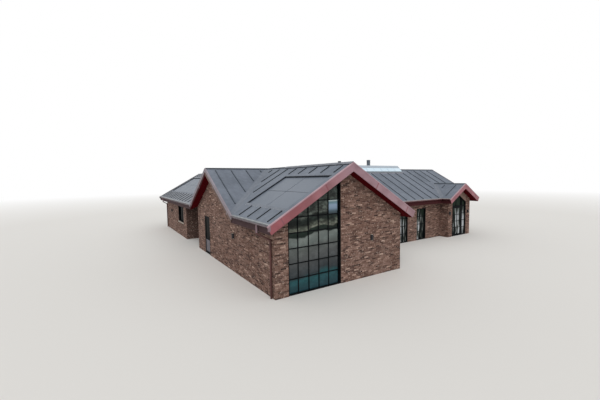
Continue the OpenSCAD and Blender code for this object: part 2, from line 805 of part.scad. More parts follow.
module red_gutters() color("#5f2a33") difference() {
    red_runs(gutter_r);
    red_runs(gutter_r - gutter_t);
}

// A round pipe from point a to point b.
module pipe_between(a, b, r) {
    d = b - a;
    run = norm([d[0], d[1]]);
    translate(a) rotate([0, atan2(run, d[2]), atan2(d[1], d[0])]) cylinder(r = r, h = norm(d));
}

// A downpipe on a west wall at y, and its neck up to the gutter outlet, with an elbow at each bend.
module downpipe(y, neck_y) {
    foot = [-pipe_gap - pipe_r, y, 0];
    outlet = [-gutter_off, neck_y, gutter_z - gutter_r - seat_gap];
    high_bend = outlet - [0, 0, neck_drop];
    low_bend = [foot[0], y, high_bend[2] - neck_fall];
    pipe_between(foot, low_bend, pipe_r);
    pipe_between(low_bend, high_bend, neck_r);
    pipe_between(high_bend, outlet, pipe_r);
    for (p = [low_bend, high_bend]) translate(p) sphere(r = elbow_r);
    for (k = [1, 3]) translate([-pipe_gap - cut, y - clip_w / 2, low_bend[2] * k / 4])
        cube([pipe_gap + cut, clip_w, clip_h]);
}

module downpipes() color("#4a2a28") {
    downpipe(pipe_y, outlet_y);
    translate([0, rear_y, 0]) mirror([0, 1, 0]) downpipe(pipe_y, outlet_y);
}

// Lantern

// Section of the lantern's glass on one side of the ridge.
module lantern_pane_section() polygon([
    [lantern_half, lantern_foot], [lantern_bar_half, lantern_apex],
    [lantern_bar_half, lantern_apex + lantern_glass_t], [lantern_half, lantern_foot + lantern_glass_t]
]);

module lantern_kerb() difference() {
    translate([-lantern_half, 0, 0]) cube([2 * lantern_half, lantern_len, lantern_foot]);
    translate([-lantern_half + kerb_t, kerb_t, -cut])
        cube([2 * (lantern_half - kerb_t), lantern_len - 2 * kerb_t, lantern_foot + 2 * cut]);
}

module lantern_rafters() for (i = [1:lantern_bays - 1], m = [0, 1]) mirror([m, 0, 0])
    upright(i * lantern_len / lantern_bays - rafter_w / 2, i * lantern_len / lantern_bays + rafter_w / 2)
        polygon([
            [lantern_half, lantern_foot - rafter_d], [lantern_half, lantern_foot],
            [lantern_bar_half, lantern_apex], [0, lantern_apex], [0, lantern_apex - rafter_d]
        ]);

// The bar under the lantern's ridge and the capping that lies on the glass.
module lantern_ridge() for (m = [0, 1]) mirror([m, 0, 0]) upright(0, lantern_len) polygon([
    [0, lantern_apex - rafter_d], [lantern_bar_half, lantern_apex - rafter_d],
    [lantern_bar_half, lantern_apex + lantern_glass_t + seat_gap],
    [lantern_cap_half, lantern_cap_foot + seat_gap], [lantern_cap_half, lantern_cap_foot + lantern_cap_t],
    [lantern_bar_half, lantern_apex + lantern_glass_t + lantern_cap_t],
    [0, lantern_apex + lantern_glass_t + lantern_crown]
]);

module lantern_frame() color("#7d8387") translate([lantern_x + lantern_len, ridge_y, 0]) rotate([0, 0, 90])
    difference() {
        union() {
            lantern_kerb();
            lantern_rafters();
            lantern_ridge();
            for (y = [0, lantern_len - kerb_t]) upright(y, y + kerb_t) polygon([
                [-lantern_half, lantern_foot], [lantern_half, lantern_foot],
                [lantern_bar_half, lantern_apex], [-lantern_bar_half, lantern_apex]
            ]);
        }
        translate([0, -cut, 0]) gable_solid(lantern_half + cut, ridge_h, lantern_len + 2 * cut);
    }

module lantern_glass() color("#dfeaf2", 0.6)
    translate([lantern_x + lantern_len, ridge_y, 0]) rotate([0, 0, 90])
        for (m = [0, 1]) mirror([m, 0, 0]) upright(0, lantern_len) lantern_pane_section();

// Solar panels

// Puts a shape that lies in the X-Y plane on the west slope, from a run out of the ridge.
module on_west_slope(run) translate([wing_mid, 0, ridge_h]) mirror([1, 0, 0]) rotate([0, roof_pitch, 0])
    translate([run / cos(roof_pitch), 0, 0]) children();

// The recess in the roof that a row of solar panels lies in.
module array_recess(array_y, run, count) on_west_slope(run)
    translate([-recess_gap, array_y - recess_gap, -recess_depth])
        cube([rows_h + 2 * recess_gap, array_len(count) + 2 * recess_gap, recess_depth + cut]);

// Panels in two rows up the slope, on the floor of their recess.
module solar_array(array_y, run, count) on_west_slope(run)
    for (i = [0:count - 1], j = [0, 1]) translate([
        j * (panel_h + panel_gap), array_y + i * (panel_len + panel_gap), seat_gap - recess_depth
    ])
        cube([panel_h, panel_len, panel_t]);

module front_solar_panels() color("#6f757c")
    solar_array(front_array_y, front_from_ridge, front_array_count);

module rear_solar_panels() color("#6f757c")
    solar_array(rear_array_y, rear_from_ridge, rear_array_count);

module chimney() color("#2f3336") difference() {
    translate([chimney_x, ridge_y + chimney_back, 0]) {
        cylinder(r = chimney_r, h = chimney_top - chimney_head_h);
        translate([0, 0, chimney_top - chimney_head_h]) cylinder(r = chimney_head_r, h = chimney_head_h);
    }
    main_form(0, slab_eave, verge_out);
    translate([chimney_x, ridge_y + chimney_back, ridge_h]) cylinder(r = chimney_bore_r, h = ridge_h);
}

module roof_vent() color("#3b4044") difference() {
    translate([vent_x, ridge_y + vent_back, 0]) {
        cylinder(r = vent_r, h = vent_top - vent_hat_h);
        translate([0, 0, vent_top - vent_hat_h]) cylinder(r = vent_hat_r, h = vent_hat_h);
    }
    main_form(0, slab_eave, verge_out);
}

// Windows

// Bars on both faces of the glass, across an opening w wide and h high.
module glazing_bars(w, h, xs, zs, y = glass_y, d = bar_d, t = glass_t) for (face = [y - d, y + t]) {
    for (x = xs) translate([x - bar_w / 2, face, 0]) cube([bar_w, d, h]);
    for (z = zs) translate([0, face, z - bar_w / 2]) cube([w, d, bar_w]);
}

// A frame ring between two outlines.
module frame_ring() upright(frame_recess, frame_recess + frame_d) difference() {
    children(0);
    children(1);
}

// A rectangular window at the origin, outer face towards -Y.
module plain_frame(w, h, cols, rows) {
    frame_ring() {
        square([w, h]);
        translate([frame_w, frame_w]) square([w - 2 * frame_w, h - 2 * frame_w]);
    }
    inner_w = w - 2 * frame_w;
    inner_h = h - 2 * frame_w;
    translate([frame_w, 0, frame_w]) glazing_bars(inner_w, inner_h,
        cols > 1 ? [for (i = [1:cols - 1]) inner_w * i / cols] : [],
        rows > 1 ? [for (i = [1:rows - 1]) inner_h * i / rows] : []);
}

module plain_glass(w, h) translate([frame_w, glass_y, frame_w])
    cube([w - 2 * frame_w, glass_t, h - 2 * frame_w]);

// Height just under the slab above the front wall, at a distance from the west corner.
function gable_top(x) = ridge_h - roof_v - seat_gap - slope * (wing_mid - x);

module front_window_outline(inset) {
    low = gable_top(front_window_x) + inset * slope - inset / cos(roof_pitch);
    high = gable_top(front_window_x + front_window_w) - inset * slope - inset / cos(roof_pitch);
    polygon([[inset, inset], [front_window_w - inset, inset],
        [front_window_w - inset, high], [inset, low]]);
}

module front_window_frame() color(steel_black) translate([front_window_x, 0, 0]) {
    frame_ring() {
        front_window_outline(0);
        front_window_outline(frame_w);
    }
    intersection() {
        glazing_bars(front_window_w, ridge_h,
            [for (i = [1:4]) i * pane_w], [for (i = [1:7]) i * pane_h]);
        upright(0, wall_t) front_window_outline(frame_w);
    }
}

module front_window_glass() color(glass_tint, 0.5) translate([front_window_x, 0, 0])
    upright(glass_y, glass_y + glass_t) front_window_outline(frame_w);

// Puts a sill window, or what belongs to it, in each of its openings.
module each_sill_window() {
    translate([0, rear_window_y + sill_window_w, sill_z]) rotate([0, 0, -90]) children();
    for (x = back_window_xs)
        translate([x + sill_window_w, main_back, sill_z]) rotate([0, 0, 180]) children();
    translate([rear_gable_x + sill_window_w, rear_y, sill_z]) rotate([0, 0, 180]) children();
    translate([main_len, east_window_y, sill_z]) rotate([0, 0, 90]) children();
    for (y = rear_east_ys) translate([wing_w, y, sill_z]) rotate([0, 0, 90]) children();
}

module window_frames() color(steel_black) {
    for (x = terrace_xs) translate([x, main_front, 0]) plain_frame(terrace_w, terrace_h, 2, 4);
    each_sill_window() plain_frame(sill_window_w, sill_window_h, 2, 1);
}

module window_glass() color(glass_tint, 0.5) {
    for (x = terrace_xs) translate([x, main_front, 0]) plain_glass(terrace_w, terrace_h);
    each_sill_window() plain_glass(sill_window_w, sill_window_h);
    bay_panes();
}

module window_sills() color("#b9b2a6") each_sill_window()
    translate([0, -sill_out, -sill_t]) cube([sill_window_w, sill_out, sill_t]);

// Bay glazing: a door with two columns of panes, a post and one more column.
module bay_window_frame() color(steel_black) translate([bay_glass_x, bay_front, 0]) {
    frame_ring() {
        bay_glass_outline(0);
        bay_glass_outline(frame_w);
    }
    upright(frame_recess, frame_recess + frame_d) intersection() {
        union() {
            translate([bay_post_x, 0]) square([post_w, bay_glass_h]);
            translate([0, bay_door_h]) square([bay_glass_w, transom_h]);
        }
        bay_glass_outline(frame_w);
    }
    intersection() {
        union() {
            translate([0, 0, bay_door_h]) glazing_bars(bay_glass_w, pane_h * 2,
                [frame_w + bay_door_w / 2], []);
            translate([light_x, 0, 0]) glazing_bars(side_light_w, bay_door_h, [],
                [for (i = [1:3]) threshold_h + i * (bay_door_h - threshold_h) / 4]);
        }
        upright(0, wall_t) bay_glass_outline(frame_w);
    }
    door_stops(frame_w, bay_door_w, bay_door_h);
    hinge_halves(frame_w, bay_door_h, false);
}

module bay_panes() translate([bay_glass_x, bay_front, 0]) difference() {
    upright(glass_y, glass_y + glass_t) bay_glass_outline(frame_w);
    cube([light_x, wall_t, bay_door_h + transom_h]);
    translate([0, 0, bay_door_h]) cube([bay_glass_w, wall_t, transom_h]);
    translate([bay_post_x, 0, 0]) cube([post_w, wall_t, bay_glass_h]);
}

// Doors

// Stops behind a leaf, at both sides and the top of a door opening.
module door_stops(x, w, h) {
    depth = frame_d - leaf_t - leaf_gap;
    translate([x, leaf_back + leaf_gap, threshold_h]) {
        cube([stop_w, depth, h - threshold_h]);
        translate([w - stop_w, 0, 0]) cube([stop_w, depth, h - threshold_h]);
        translate([0, 0, h - threshold_h - stop_w]) cube([w, depth, stop_w]);
    }
    translate([x, frame_recess, 0]) cube([w, frame_d, threshold_h]);
}

// Three hinges at the left side of a door opening: the leaf's halves, or the frame's below them.
module hinge_halves(x, h, on_leaf) for (k = [hinge_inset, 0.5, 1 - hinge_inset]) {
    foot = on_leaf ? running_gap / 2 : -hinge_h - running_gap / 2;
    translate([x + leaf_gap / 2, frame_recess - hinge_off, k * h + foot]) {
        cylinder(r = hinge_r, h = hinge_h);
        translate([on_leaf ? leaf_gap / 2 : -leaf_gap / 2 - hinge_w, hinge_off - hinge_t, 0])
            cube([hinge_w, hinge_t, hinge_h]);
        translate([on_leaf ? 0 : -leaf_gap / 2, hinge_off - hinge_t, 0])
            cube([leaf_gap / 2, hinge_t, hinge_h]);
    }
}

// A door leaf at the left of its opening, with its stiles, rails and bars.
module leaf(w, h, foot, cols, rows) {
    low = threshold_h + leaf_gap;
    leaf_w = w - 2 * leaf_gap;
    leaf_h = h - leaf_gap - low;
    translate([leaf_gap, frame_recess, low]) {
        difference() {
            cube([leaf_w, leaf_t, leaf_h]);
            translate([stile_w, -cut, foot])
                cube([leaf_w - 2 * stile_w, leaf_t + 2 * cut, leaf_h - foot - stile_w]);
        }
        inner_w = leaf_w - 2 * stile_w;
        inner_h = leaf_h - foot - stile_w;
        translate([stile_w, 0, foot]) glazing_bars(inner_w, inner_h,
            cols > 1 ? [for (i = [1:cols - 1]) inner_w * i / cols] : [],
            rows > 1 ? [for (i = [1:rows - 1]) inner_h * i / rows] : [],
            leaf_t / 2 - leaf_glass_t / 2, leaf_bar_d, leaf_glass_t);
    }
}

module leaf_pane(w, h, foot) {
    low = threshold_h + leaf_gap;
    translate([leaf_gap + stile_w, frame_recess + leaf_t / 2 - leaf_glass_t / 2, low + foot])
        cube([w - 2 * leaf_gap - 2 * stile_w, leaf_glass_t, h - leaf_gap - low - foot - stile_w]);
}

// A lever handle on the lock side of a leaf.
module lever(w) translate([w - leaf_gap - stile_w / 2, frame_recess, lever_z]) {
    translate([-plate_w / 2, -plate_t, -plate_h / 2]) cube([plate_w, plate_t, plate_h]);
    translate([0, lever_t - lever_out, 0]) rotate([-90, 0, 0])
        cylinder(r = lever_r, h = lever_out - lever_t);
    translate([lever_r - lever_len, -lever_out, -lever_r]) cube([lever_len, lever_t, 2 * lever_r]);
}

// The west door's frame, turned so that its outer face looks west.
module west_door_place() translate([0, west_door_y + west_door_w, 0]) rotate([0, 0, -90]) children();

module west_door_frame() color(steel_black) west_door_place() {
    upright(frame_recess, frame_recess + frame_d) difference() {
        square([west_door_w, west_door_h]);
        translate([frame_w, 0]) square([west_leaf_w, west_leaf_h]);
    }
    door_stops(frame_w, west_leaf_w, west_leaf_h);
    hinge_halves(frame_w, west_leaf_h, false);
}

module west_door_leaf() color("#2a2e31") west_door_place() {
    translate([frame_w, 0, 0]) {
        leaf(west_leaf_w, west_leaf_h, stile_w, 1, 1);
        translate([
            leaf_gap + stile_w, frame_recess + (leaf_t - lower_panel_t) / 2,
            threshold_h + leaf_gap + stile_w
        ])
            cube([west_leaf_w - 2 * leaf_gap - 2 * stile_w, lower_panel_t, lower_panel_h - stile_w]);
        lever(west_leaf_w);
    }
    hinge_halves(frame_w, west_leaf_h, true);
}

module west_door_glass() color(glass_tint, 0.5) west_door_place() translate([frame_w, 0, 0])
    leaf_pane(west_leaf_w, west_leaf_h, lower_panel_h);

module bay_door_leaf() color(steel_black) translate([bay_glass_x, bay_front, 0]) {
    translate([frame_w, 0, 0]) {
        leaf(bay_door_w, bay_door_h, stile_w, 2, 4);
        lever(bay_door_w);
    }
    hinge_halves(frame_w, bay_door_h, true);
}

module bay_door_glass() color(glass_tint, 0.5) translate([bay_glass_x + frame_w, bay_front, 0])
    leaf_pane(bay_door_w, bay_door_h, stile_w);

// A wall lamp at the origin, on a wall whose outer face looks towards -Y.
module wall_lamp() translate([-lamp_w / 2, -lamp_d, lamp_z]) {
    cube([lamp_w, lamp_d, lamp_h]);
    translate([-lamp_cap_out, -lamp_cap_out, lamp_h])
        cube([lamp_w + 2 * lamp_cap_out, lamp_d + lamp_cap_out, lamp_cap_t]);
}

module wall_lamps() color("#26282a") {
    translate([front_lamp_x, 0, 0]) wall_lamp();
    translate([0, west_lamp_y, 0]) rotate([0, 0, -90]) wall_lamp();
    translate([0, rear_lamp_y, 0]) rotate([0, 0, -90]) wall_lamp();
    for (x = [bay_x + bay_west_lamp, bay_x + bay_w - bay_east_lamp])
        translate([x, bay_front, 0]) wall_lamp();
}

place() front_gable_wall();
place() front_east_wall();
place() west_wall();
place() main_front_walls();
place() lintels();
place() bay_walls();
place() bay_gable_band();
place() east_gable_wall();
place() back_wall();
place() rear_west_wall();
place() rear_gable_wall();
place() rear_east_wall();
place() porch_south_wall();
place() porch_back_wall();
place() porch_north_wall();
place() ground_floor();
place() main_roof();
place() front_roof();
place() rear_roof();
place() bay_roof();
place() batten_seams();
place() ridge_caps();
place() vent_ridge();
place() front_verge_boards();
place() west_verge_boards();
place() bay_verge_boards();
place() hidden_verge_boards();
place() eaves_boards();
place() soffit_boards();
place() zinc_gutters();
place() red_gutters();
place() downpipes();
place() lantern_frame();
place() lantern_glass();
place() front_solar_panels();
place() rear_solar_panels();
place() chimney();
place() roof_vent();
place() front_window_frame();
place() front_window_glass();
place() window_frames();
place() window_glass();
place() window_sills();
place() bay_window_frame();
place() west_door_frame();
place() west_door_leaf();
place() west_door_glass();
place() bay_door_leaf();
place() bay_door_glass();
place() wall_lamps();
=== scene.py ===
# Dresses the brick beach house: laid bricks, felt roof, coated boards, steel windows, gutters and fittings.
import math
import random
from functools import partial

import bmesh
import bpy
from mathutils import Matrix, Vector


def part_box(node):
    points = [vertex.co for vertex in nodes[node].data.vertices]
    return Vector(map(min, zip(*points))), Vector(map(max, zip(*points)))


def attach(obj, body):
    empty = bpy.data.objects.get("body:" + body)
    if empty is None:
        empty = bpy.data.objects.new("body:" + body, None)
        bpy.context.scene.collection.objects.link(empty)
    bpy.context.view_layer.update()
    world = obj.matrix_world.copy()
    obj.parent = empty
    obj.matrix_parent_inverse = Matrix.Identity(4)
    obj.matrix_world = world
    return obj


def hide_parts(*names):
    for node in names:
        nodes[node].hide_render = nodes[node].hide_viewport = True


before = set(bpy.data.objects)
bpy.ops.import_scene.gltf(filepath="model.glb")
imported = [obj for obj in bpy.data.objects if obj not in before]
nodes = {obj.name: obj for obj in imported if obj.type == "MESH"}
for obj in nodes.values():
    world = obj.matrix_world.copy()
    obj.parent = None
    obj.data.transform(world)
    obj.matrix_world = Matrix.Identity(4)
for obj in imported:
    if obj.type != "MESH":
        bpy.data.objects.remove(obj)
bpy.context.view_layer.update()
print("frame loaded:", len(nodes), "nodes")


# Camera, at the photograph's viewing angle

camera = {
    "place": (-14.684, -20.905, 4.39),
    "yaw": 32.75,     # degrees from +Y towards +X
    "pitch": 4.02,    # degrees down
    "roll": -0.79,
    "focalPixels": 304.3,
    "imageWidth": 600,
    "sensor": 36.0,   # mm
    "clip": 500,
}


def makeCamera():
    yaw, pitch, roll = (math.radians(camera[key]) for key in ("yaw", "pitch", "roll"))
    forward = Vector((math.sin(yaw) * math.cos(pitch), math.cos(yaw) * math.cos(pitch), -math.sin(pitch)))
    level = Vector((math.cos(yaw), -math.sin(yaw), 0))
    upright = level.cross(forward)
    right = math.cos(roll) * level + math.sin(roll) * upright
    up = math.cos(roll) * upright - math.sin(roll) * level
    data = bpy.data.cameras.new("camera")
    data.sensor_width = camera["sensor"]
    data.lens = camera["focalPixels"] * camera["sensor"] / camera["imageWidth"]
    data.clip_end = camera["clip"]
    eye = bpy.data.objects.new("camera", data)
    eye.matrix_world = Matrix.Translation(camera["place"]) @ Matrix((right, up, -forward)).transposed().to_4x4()
    bpy.context.scene.collection.objects.link(eye)
    bpy.context.scene.camera = eye


makeCamera()
bpy.context.scene.view_settings.view_transform = "Standard"
print("camera placed")


# The house's own lines, read from the frame, in metres

low = {name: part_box(name)[0] for name in nodes}
high = {name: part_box(name)[1] for name in nodes}
pitch = math.radians(30)   # of every roof
slope = math.tan(pitch)
house = {
    "west": low["west_wall"].x,
    "wingEast": high["front_gable_wall"].x,
    "east": high["east_gable_wall"].x,
    "front": low["front_gable_wall"].y,
    "mainFront": low["main_front_walls"].y,
    "mainBack": high["west_wall"].y,
    "porchEnd": low["porch_north_wall"].y,
    "porchBack": low["porch_back_wall"].x,
    "rear": high["rear_gable_wall"].y,
    "bayWest": low["bay_walls"].x,
    "bayEast": high["bay_walls"].x,
    "bayFront": low["bay_walls"].y,
    "frontVerge": low["front_verge_boards"].y,
    "westVerge": low["west_verge_boards"].x,
    "bayVerge": low["bay_verge_boards"].y,
    "rearVerge": high["hidden_verge_boards"].y,
    "eastVerge": high["hidden_verge_boards"].x,
    "ridge": high["main_roof"].z,
    "bayRidge": high["bay_roof"].z,
    "slab": 0.329,        # upright thickness of the roof slabs
    "soffit": 0.018,      # thickness of the boards under the overhangs
    "wall": high["west_wall"].x - low["west_wall"].x,
    "eaveOut": 0.38,
    "footOut": 0.502,     # how far the tops of the verge boards' feet stand out of the walls
    "boardRise": 0.026,   # how far the verge boards rise over the covering, upright
}
house["wingMid"] = (house["west"] + house["wingEast"]) / 2
house["ridgeY"] = (house["mainFront"] + house["mainBack"]) / 2
house["bayMid"] = (house["bayWest"] + house["bayEast"]) / 2
house["half"] = house["wingMid"] - house["west"]
house["bayHalf"] = house["bayMid"] - house["bayWest"]
house["under"] = house["slab"] + house["soffit"]
house["wallTop"] = house["ridge"] - house["under"] - slope * house["half"]


def spot(x, y, z):
    # A point measured from the foot of the front wing's west corner
    return Vector((house["west"] + x, house["front"] + y, z))


def slopeFrame(ridgeEnd, along, down):
    # Turns distances along the ridge, down the slope and out of it into the row frame
    along, down = Vector(along), Vector(down)
    out = along.cross(down)
    out *= 1 if out.z > 0 else -1
    return Matrix.Translation(ridgeEnd) @ Matrix((along, down, out)).transposed().to_4x4()


fall, rise = math.cos(pitch), math.sin(pitch)
wingRidge = (house["wingMid"], house["front"], house["ridge"])
mainRidge = (house["west"], house["ridgeY"], house["ridge"])
bayRidge = (house["bayMid"], house["bayFront"], house["bayRidge"])
slopes = {
    "wing west": slopeFrame(wingRidge, (0, 1, 0), (-fall, 0, -rise)),
    "wing east": slopeFrame(wingRidge, (0, 1, 0), (fall, 0, -rise)),
    "main south": slopeFrame(mainRidge, (1, 0, 0), (0, -fall, -rise)),
    "main north": slopeFrame(mainRidge, (1, 0, 0), (0, fall, -rise)),
    "bay west": slopeFrame(bayRidge, (0, 1, 0), (-fall, 0, -rise)),
    "bay east": slopeFrame(bayRidge, (0, 1, 0), (fall, 0, -rise)),
}


# Materials

zones = {   # where the look of one node changes, in metres
    "farAway": 99.0, "wallFace": 0.004,                    # plaster lies within this of the rooms' own faces
    "bayBoards": house["wingEast"] + 2,                    # verge boards east of this are the bay's
    "boardMiddle": -0.145,                                 # middle of the west verge boards, out of the slope
    "bandSlant": 0.1, "bandMiddle": house["west"] + 1.8,   # slant of the bands in the front window, and its pivot
    "backGlass": house["mainFront"] + 1, "westGlass": house["west"] + 0.3,
    "lanternCapping": 5.115,                               # the lantern's metal above this is its capping
}


def linearColour(hexCode):
    channels = [int(hexCode[i:i + 2], 16) / 255 for i in (1, 3, 5)]
    return [c / 12.92 if c <= 0.04045 else ((c + 0.055) / 1.055) ** 2.4 for c in channels] + [1.0]


def setInputs(node, inputs):
    # Sets a node's inputs, by name or in order: each to another node's socket, a number or a hex colour
    for key, value in inputs.items() if isinstance(inputs, dict) else enumerate(inputs):
        if isinstance(value, bpy.types.NodeSocket):
            node.id_data.links.new(value, node.inputs[key])
        else:
            node.inputs[key].default_value = linearColour(value) if isinstance(value, str) else value


def addNode(tree, kind, inputs=(), stops=(), **settings):
    # Adds a node with its settings and links, and the colour stops of a ramp
    node = tree.nodes.new("ShaderNode" + kind)
    for key, value in settings.items():
        setattr(node, key, value)
    setInputs(node, inputs)
    for index, (position, colour) in enumerate(stops):
        element = node.color_ramp.elements[index] if index < 2 else node.color_ramp.elements.new(position)
        element.position = position
        element.color = linearColour(colour)
    return node.outputs


def newMaterial(name, **sockets):
    # A new material: what adds its nodes, what gives its shader a colour and a relief, and the coordinates
    material = bpy.data.materials.new(name)
    material.use_nodes = True
    tree = material.node_tree
    tree.nodes.clear()
    shader = tree.nodes.new("ShaderNodeBsdfPrincipled")
    setInputs(shader, {key.replace("_", " "): value for key, value in sockets.items()})
    addNode(tree, "OutputMaterial", {"Surface": shader.outputs[0]})

    def paint(colour, normal=None):
        setInputs(shader, {"Base Color": colour, **({"Normal": normal} if normal else {})})
        return material

    return partial(addNode, tree), paint, addNode(tree, "TexCoord")["Object"]


def mottle(add, place, size, dark, light, detail=2.0):
    # Two colours in clouds of a size in metres
    cloud = add("TexNoise", {"Vector": place, "Scale": 1 / size, "Detail": detail})["Fac"]
    return add("Mix", {0: cloud, 6: dark, 7: light}, data_type="RGBA")[2]


def wash(add, place, size, detail, base, shades):
    # A colour that darkens in clouds of a size in metres
    cloud = add("TexNoise", {"Vector": place, "Scale": 1 / size, "Detail": detail})["Fac"]
    shade = add("ValToRGB", [cloud], shades)["Color"]
    return add("Mix", {0: 1.0, 6: base, 7: shade}, data_type="RGBA", blend_type="MULTIPLY")[2]


def relief(add, place, size, distance, strength):
    # Fine relief of a grain size in metres
    height = add("TexNoise", {"Vector": place, "Scale": 1 / size})["Fac"]
    return add("Bump", {"Height": height, "Distance": distance, "Strength": strength})[0]


def makeBrickClay():
    # Water-struck facing brick: fired clay from purple-brown to tan, matt and sandy, with specks of lime.
    add, paint, place = newMaterial("water-struck brick", Roughness=0.9, Specular_IOR_Level=0.2)
    clay = add("ValToRGB", [add("Attribute", attribute_name="tone")["Fac"]], [
        (0.0, "#3c2e2b"), (0.12, "#5f4943"), (0.35, "#73594f"), (0.6, "#866b60"), (0.88, "#94786d"),
        (0.93, "#aa8d7f"), (1.0, "#c3aa9b")])["Color"]
    clouded = wash(add, place, 0.11, 3.0, clay, [(0.3, "#d2cbc8"), (0.62, "#ffffff")])       # brick by brick
    weathered = wash(add, place, 1.4, 4.0, clouded, [(0.36, "#e6dedb"), (0.6, "#ffffff")])   # across the wall
    specks = add("TexNoise", {"Vector": place, "Scale": 1 / 0.055, "Detail": 2.0})["Fac"]    # 30-50 mm
    lime = add("MapRange", {"Value": specks, "From Min": 0.6, "From Max": 0.68, "To Max": 0.55})[0]
    return paint(add("Mix", {0: lime, 6: weathered, 7: "#cfbaab"}, data_type="RGBA")[2],
                 relief(add, place, 0.006, 0.0015, 0.7))


def roomMask(add, place):
    # 1 inside the rooms and on their walls' faces, 0 outside: the nearest of five boxes
    h, wall = house, house["wall"]
    rooms = [
        (h["west"], h["wingEast"], h["front"], h["mainBack"]),
        (h["porchBack"], h["wingEast"], h["front"], h["rear"]),
        (h["west"], h["wingEast"], h["porchEnd"], h["rear"]),
        (h["west"], h["east"], h["mainFront"], h["mainBack"]),
        (h["bayWest"], h["bayEast"], h["bayFront"], h["mainFront"] + wall * 3),
    ]
    near = zones["farAway"]
    for outerWest, outerEast, outerSouth, outerNorth in rooms:
        x0, x1, y0, y1 = outerWest + wall, outerEast - wall, outerSouth + wall, outerNorth - wall
        off = add("VectorMath", [place, ((x0 + x1) / 2, (y0 + y1) / 2, 0)], operation="SUBTRACT")[0]
        size = add("VectorMath", [off], operation="ABSOLUTE")[0]
        past = add("VectorMath", [size, ((x1 - x0) / 2, (y1 - y0) / 2, 0)], operation="SUBTRACT")[0]
        axes = add("SeparateXYZ", [past])
        far = add("Math", [axes[0], axes[1]], operation="MAXIMUM")[0]
        near = add("Math", [near, far], operation="MINIMUM")[0]
    return add("Math", [near, zones["wallFace"]], operation="LESS_THAN")[0]


def makeMortar():
    # Lime mortar, raked a little behind the bricks outside, and white lime plaster on the rooms' side.
    add, paint, place = newMaterial("lime mortar and plaster", Roughness=0.95, Specular_IOR_Level=0.2)
    joint = mottle(add, place, 0.05, "#725d54", "#8b766b")
    plaster = mottle(add, place, 0.4, "#e2dfd8", "#edebe6")
    return paint(add("Mix", {0: roomMask(add, place), 6: joint, 7: plaster}, data_type="RGBA")[2],
                 relief(add, place, 0.005, 0.001, 0.6))   # 5 mm grit, coarser than real


def makeFelt(name, dark, light):
    # Slate-coated bitumen felt: matt blue-grey granules, paler where rain runs down; white boards under it.
    add, paint, place = newMaterial(name, Roughness=0.74, Specular_IOR_Level=0.3)
    patches = add("TexNoise", {"Vector": place, "Scale": 1 / 1.6, "Detail": 4.0})["Fac"]
    drawn = add("Mapping", {"Vector": place, "Scale": (1, 1, 0.2)})[0]
    runs = add("TexNoise", {"Vector": drawn, "Scale": 1 / 0.22, "Detail": 3.0})["Fac"]
    tone = add("Mix", {0: 0.4, 2: patches, 3: runs}, data_type="FLOAT")[0]
    spread = add("MapRange", {"Value": tone, "From Min": 0.36, "From Max": 0.64})[0]
    cover = add("Mix", {0: spread, 6: dark, 7: light}, data_type="RGBA")[2]
    granules = add("TexNoise", {"Vector": place, "Scale": 1 / 0.006, "Detail": 2.0})["Fac"]   # 1 mm real
    speckle = add("ValToRGB", [granules], [(0.35, "#6a6a6a"), (0.65, "#909090")])["Color"]
    grained = add("Mix", {0: 0.4, 6: cover, 7: speckle}, data_type="RGBA", blend_type="OVERLAY")[2]
    facing = add("SeparateXYZ", [add("NewGeometry")["Normal"]])[2]
    below = add("Math", [facing, -0.2], operation="LESS_THAN")[0]
    return paint(add("Mix", {0: below, 6: grained, 7: "#dcd9d2"}, data_type="RGBA")[2],
                 add("Bump", {"Height": granules, "Distance": 0.001, "Strength": 0.5})[0])


def makeBattenFelt():
    # The same felt welded over battens: grey on top, dark down the sides, partly as painted shade, darkest on the
    # wings' south sides.
    add, paint, place = newMaterial("batten felt", Roughness=0.8, Specular_IOR_Level=0.2)
    normal = add("VectorMath", [add("NewGeometry")["Normal"]], operation="ABSOLUTE")[0]
    facing = add("SeparateXYZ", [normal])
    # painted shade: side faces turn dark, darkest on the wings' battens
    side = add("Math", [facing[2], 0.5], operation="LESS_THAN")[0]
    onWings = add("Math", [facing[1], 0.7], operation="GREATER_THAN")[0]
    top = mottle(add, place, 0.6, "#4b525a", "#626a73", 3.0)
    shaded = add("Mix", {0: onWings, 6: "#2b3137", 7: "#0c0f12"}, data_type="RGBA")[2]
    return paint(add("Mix", {0: side, 6: top, 7: shaded}, data_type="RGBA")[2])


def makeVergePaint():
    # Dusty red coated boards, with a painted sky reflection that greys them up the west rake and down the east one.
    add, paint, place = newMaterial("dusty red coated board", Roughness=0.5)
    axes = add("SeparateXYZ", [place])
    along = add("MapRange", {"Value": axes[0], "From Min": house["west"], "From Max": house["wingEast"]})[0]
    # painted sky reflection: the boards grow greyer from the west foot to the east foot
    skySheen = add("ValToRGB", [along], [
        (0.0, "#96535a"), (0.15, "#965960"), (0.35, "#986c73"), (0.5, "#987781"), (1.0, "#9d7d84")])["Color"]
    atBay = add("Math", [axes[0], zones["bayBoards"]], operation="GREATER_THAN")[0]
    base = add("Mix", {0: atBay, 6: skySheen, 7: "#9a6068"}, data_type="RGBA")[2]
    dulled = wash(add, place, 0.5, 4.0, base, [(0.35, "#e2dddd"), (0.6, "#ffffff")])
    return paint(dulled)


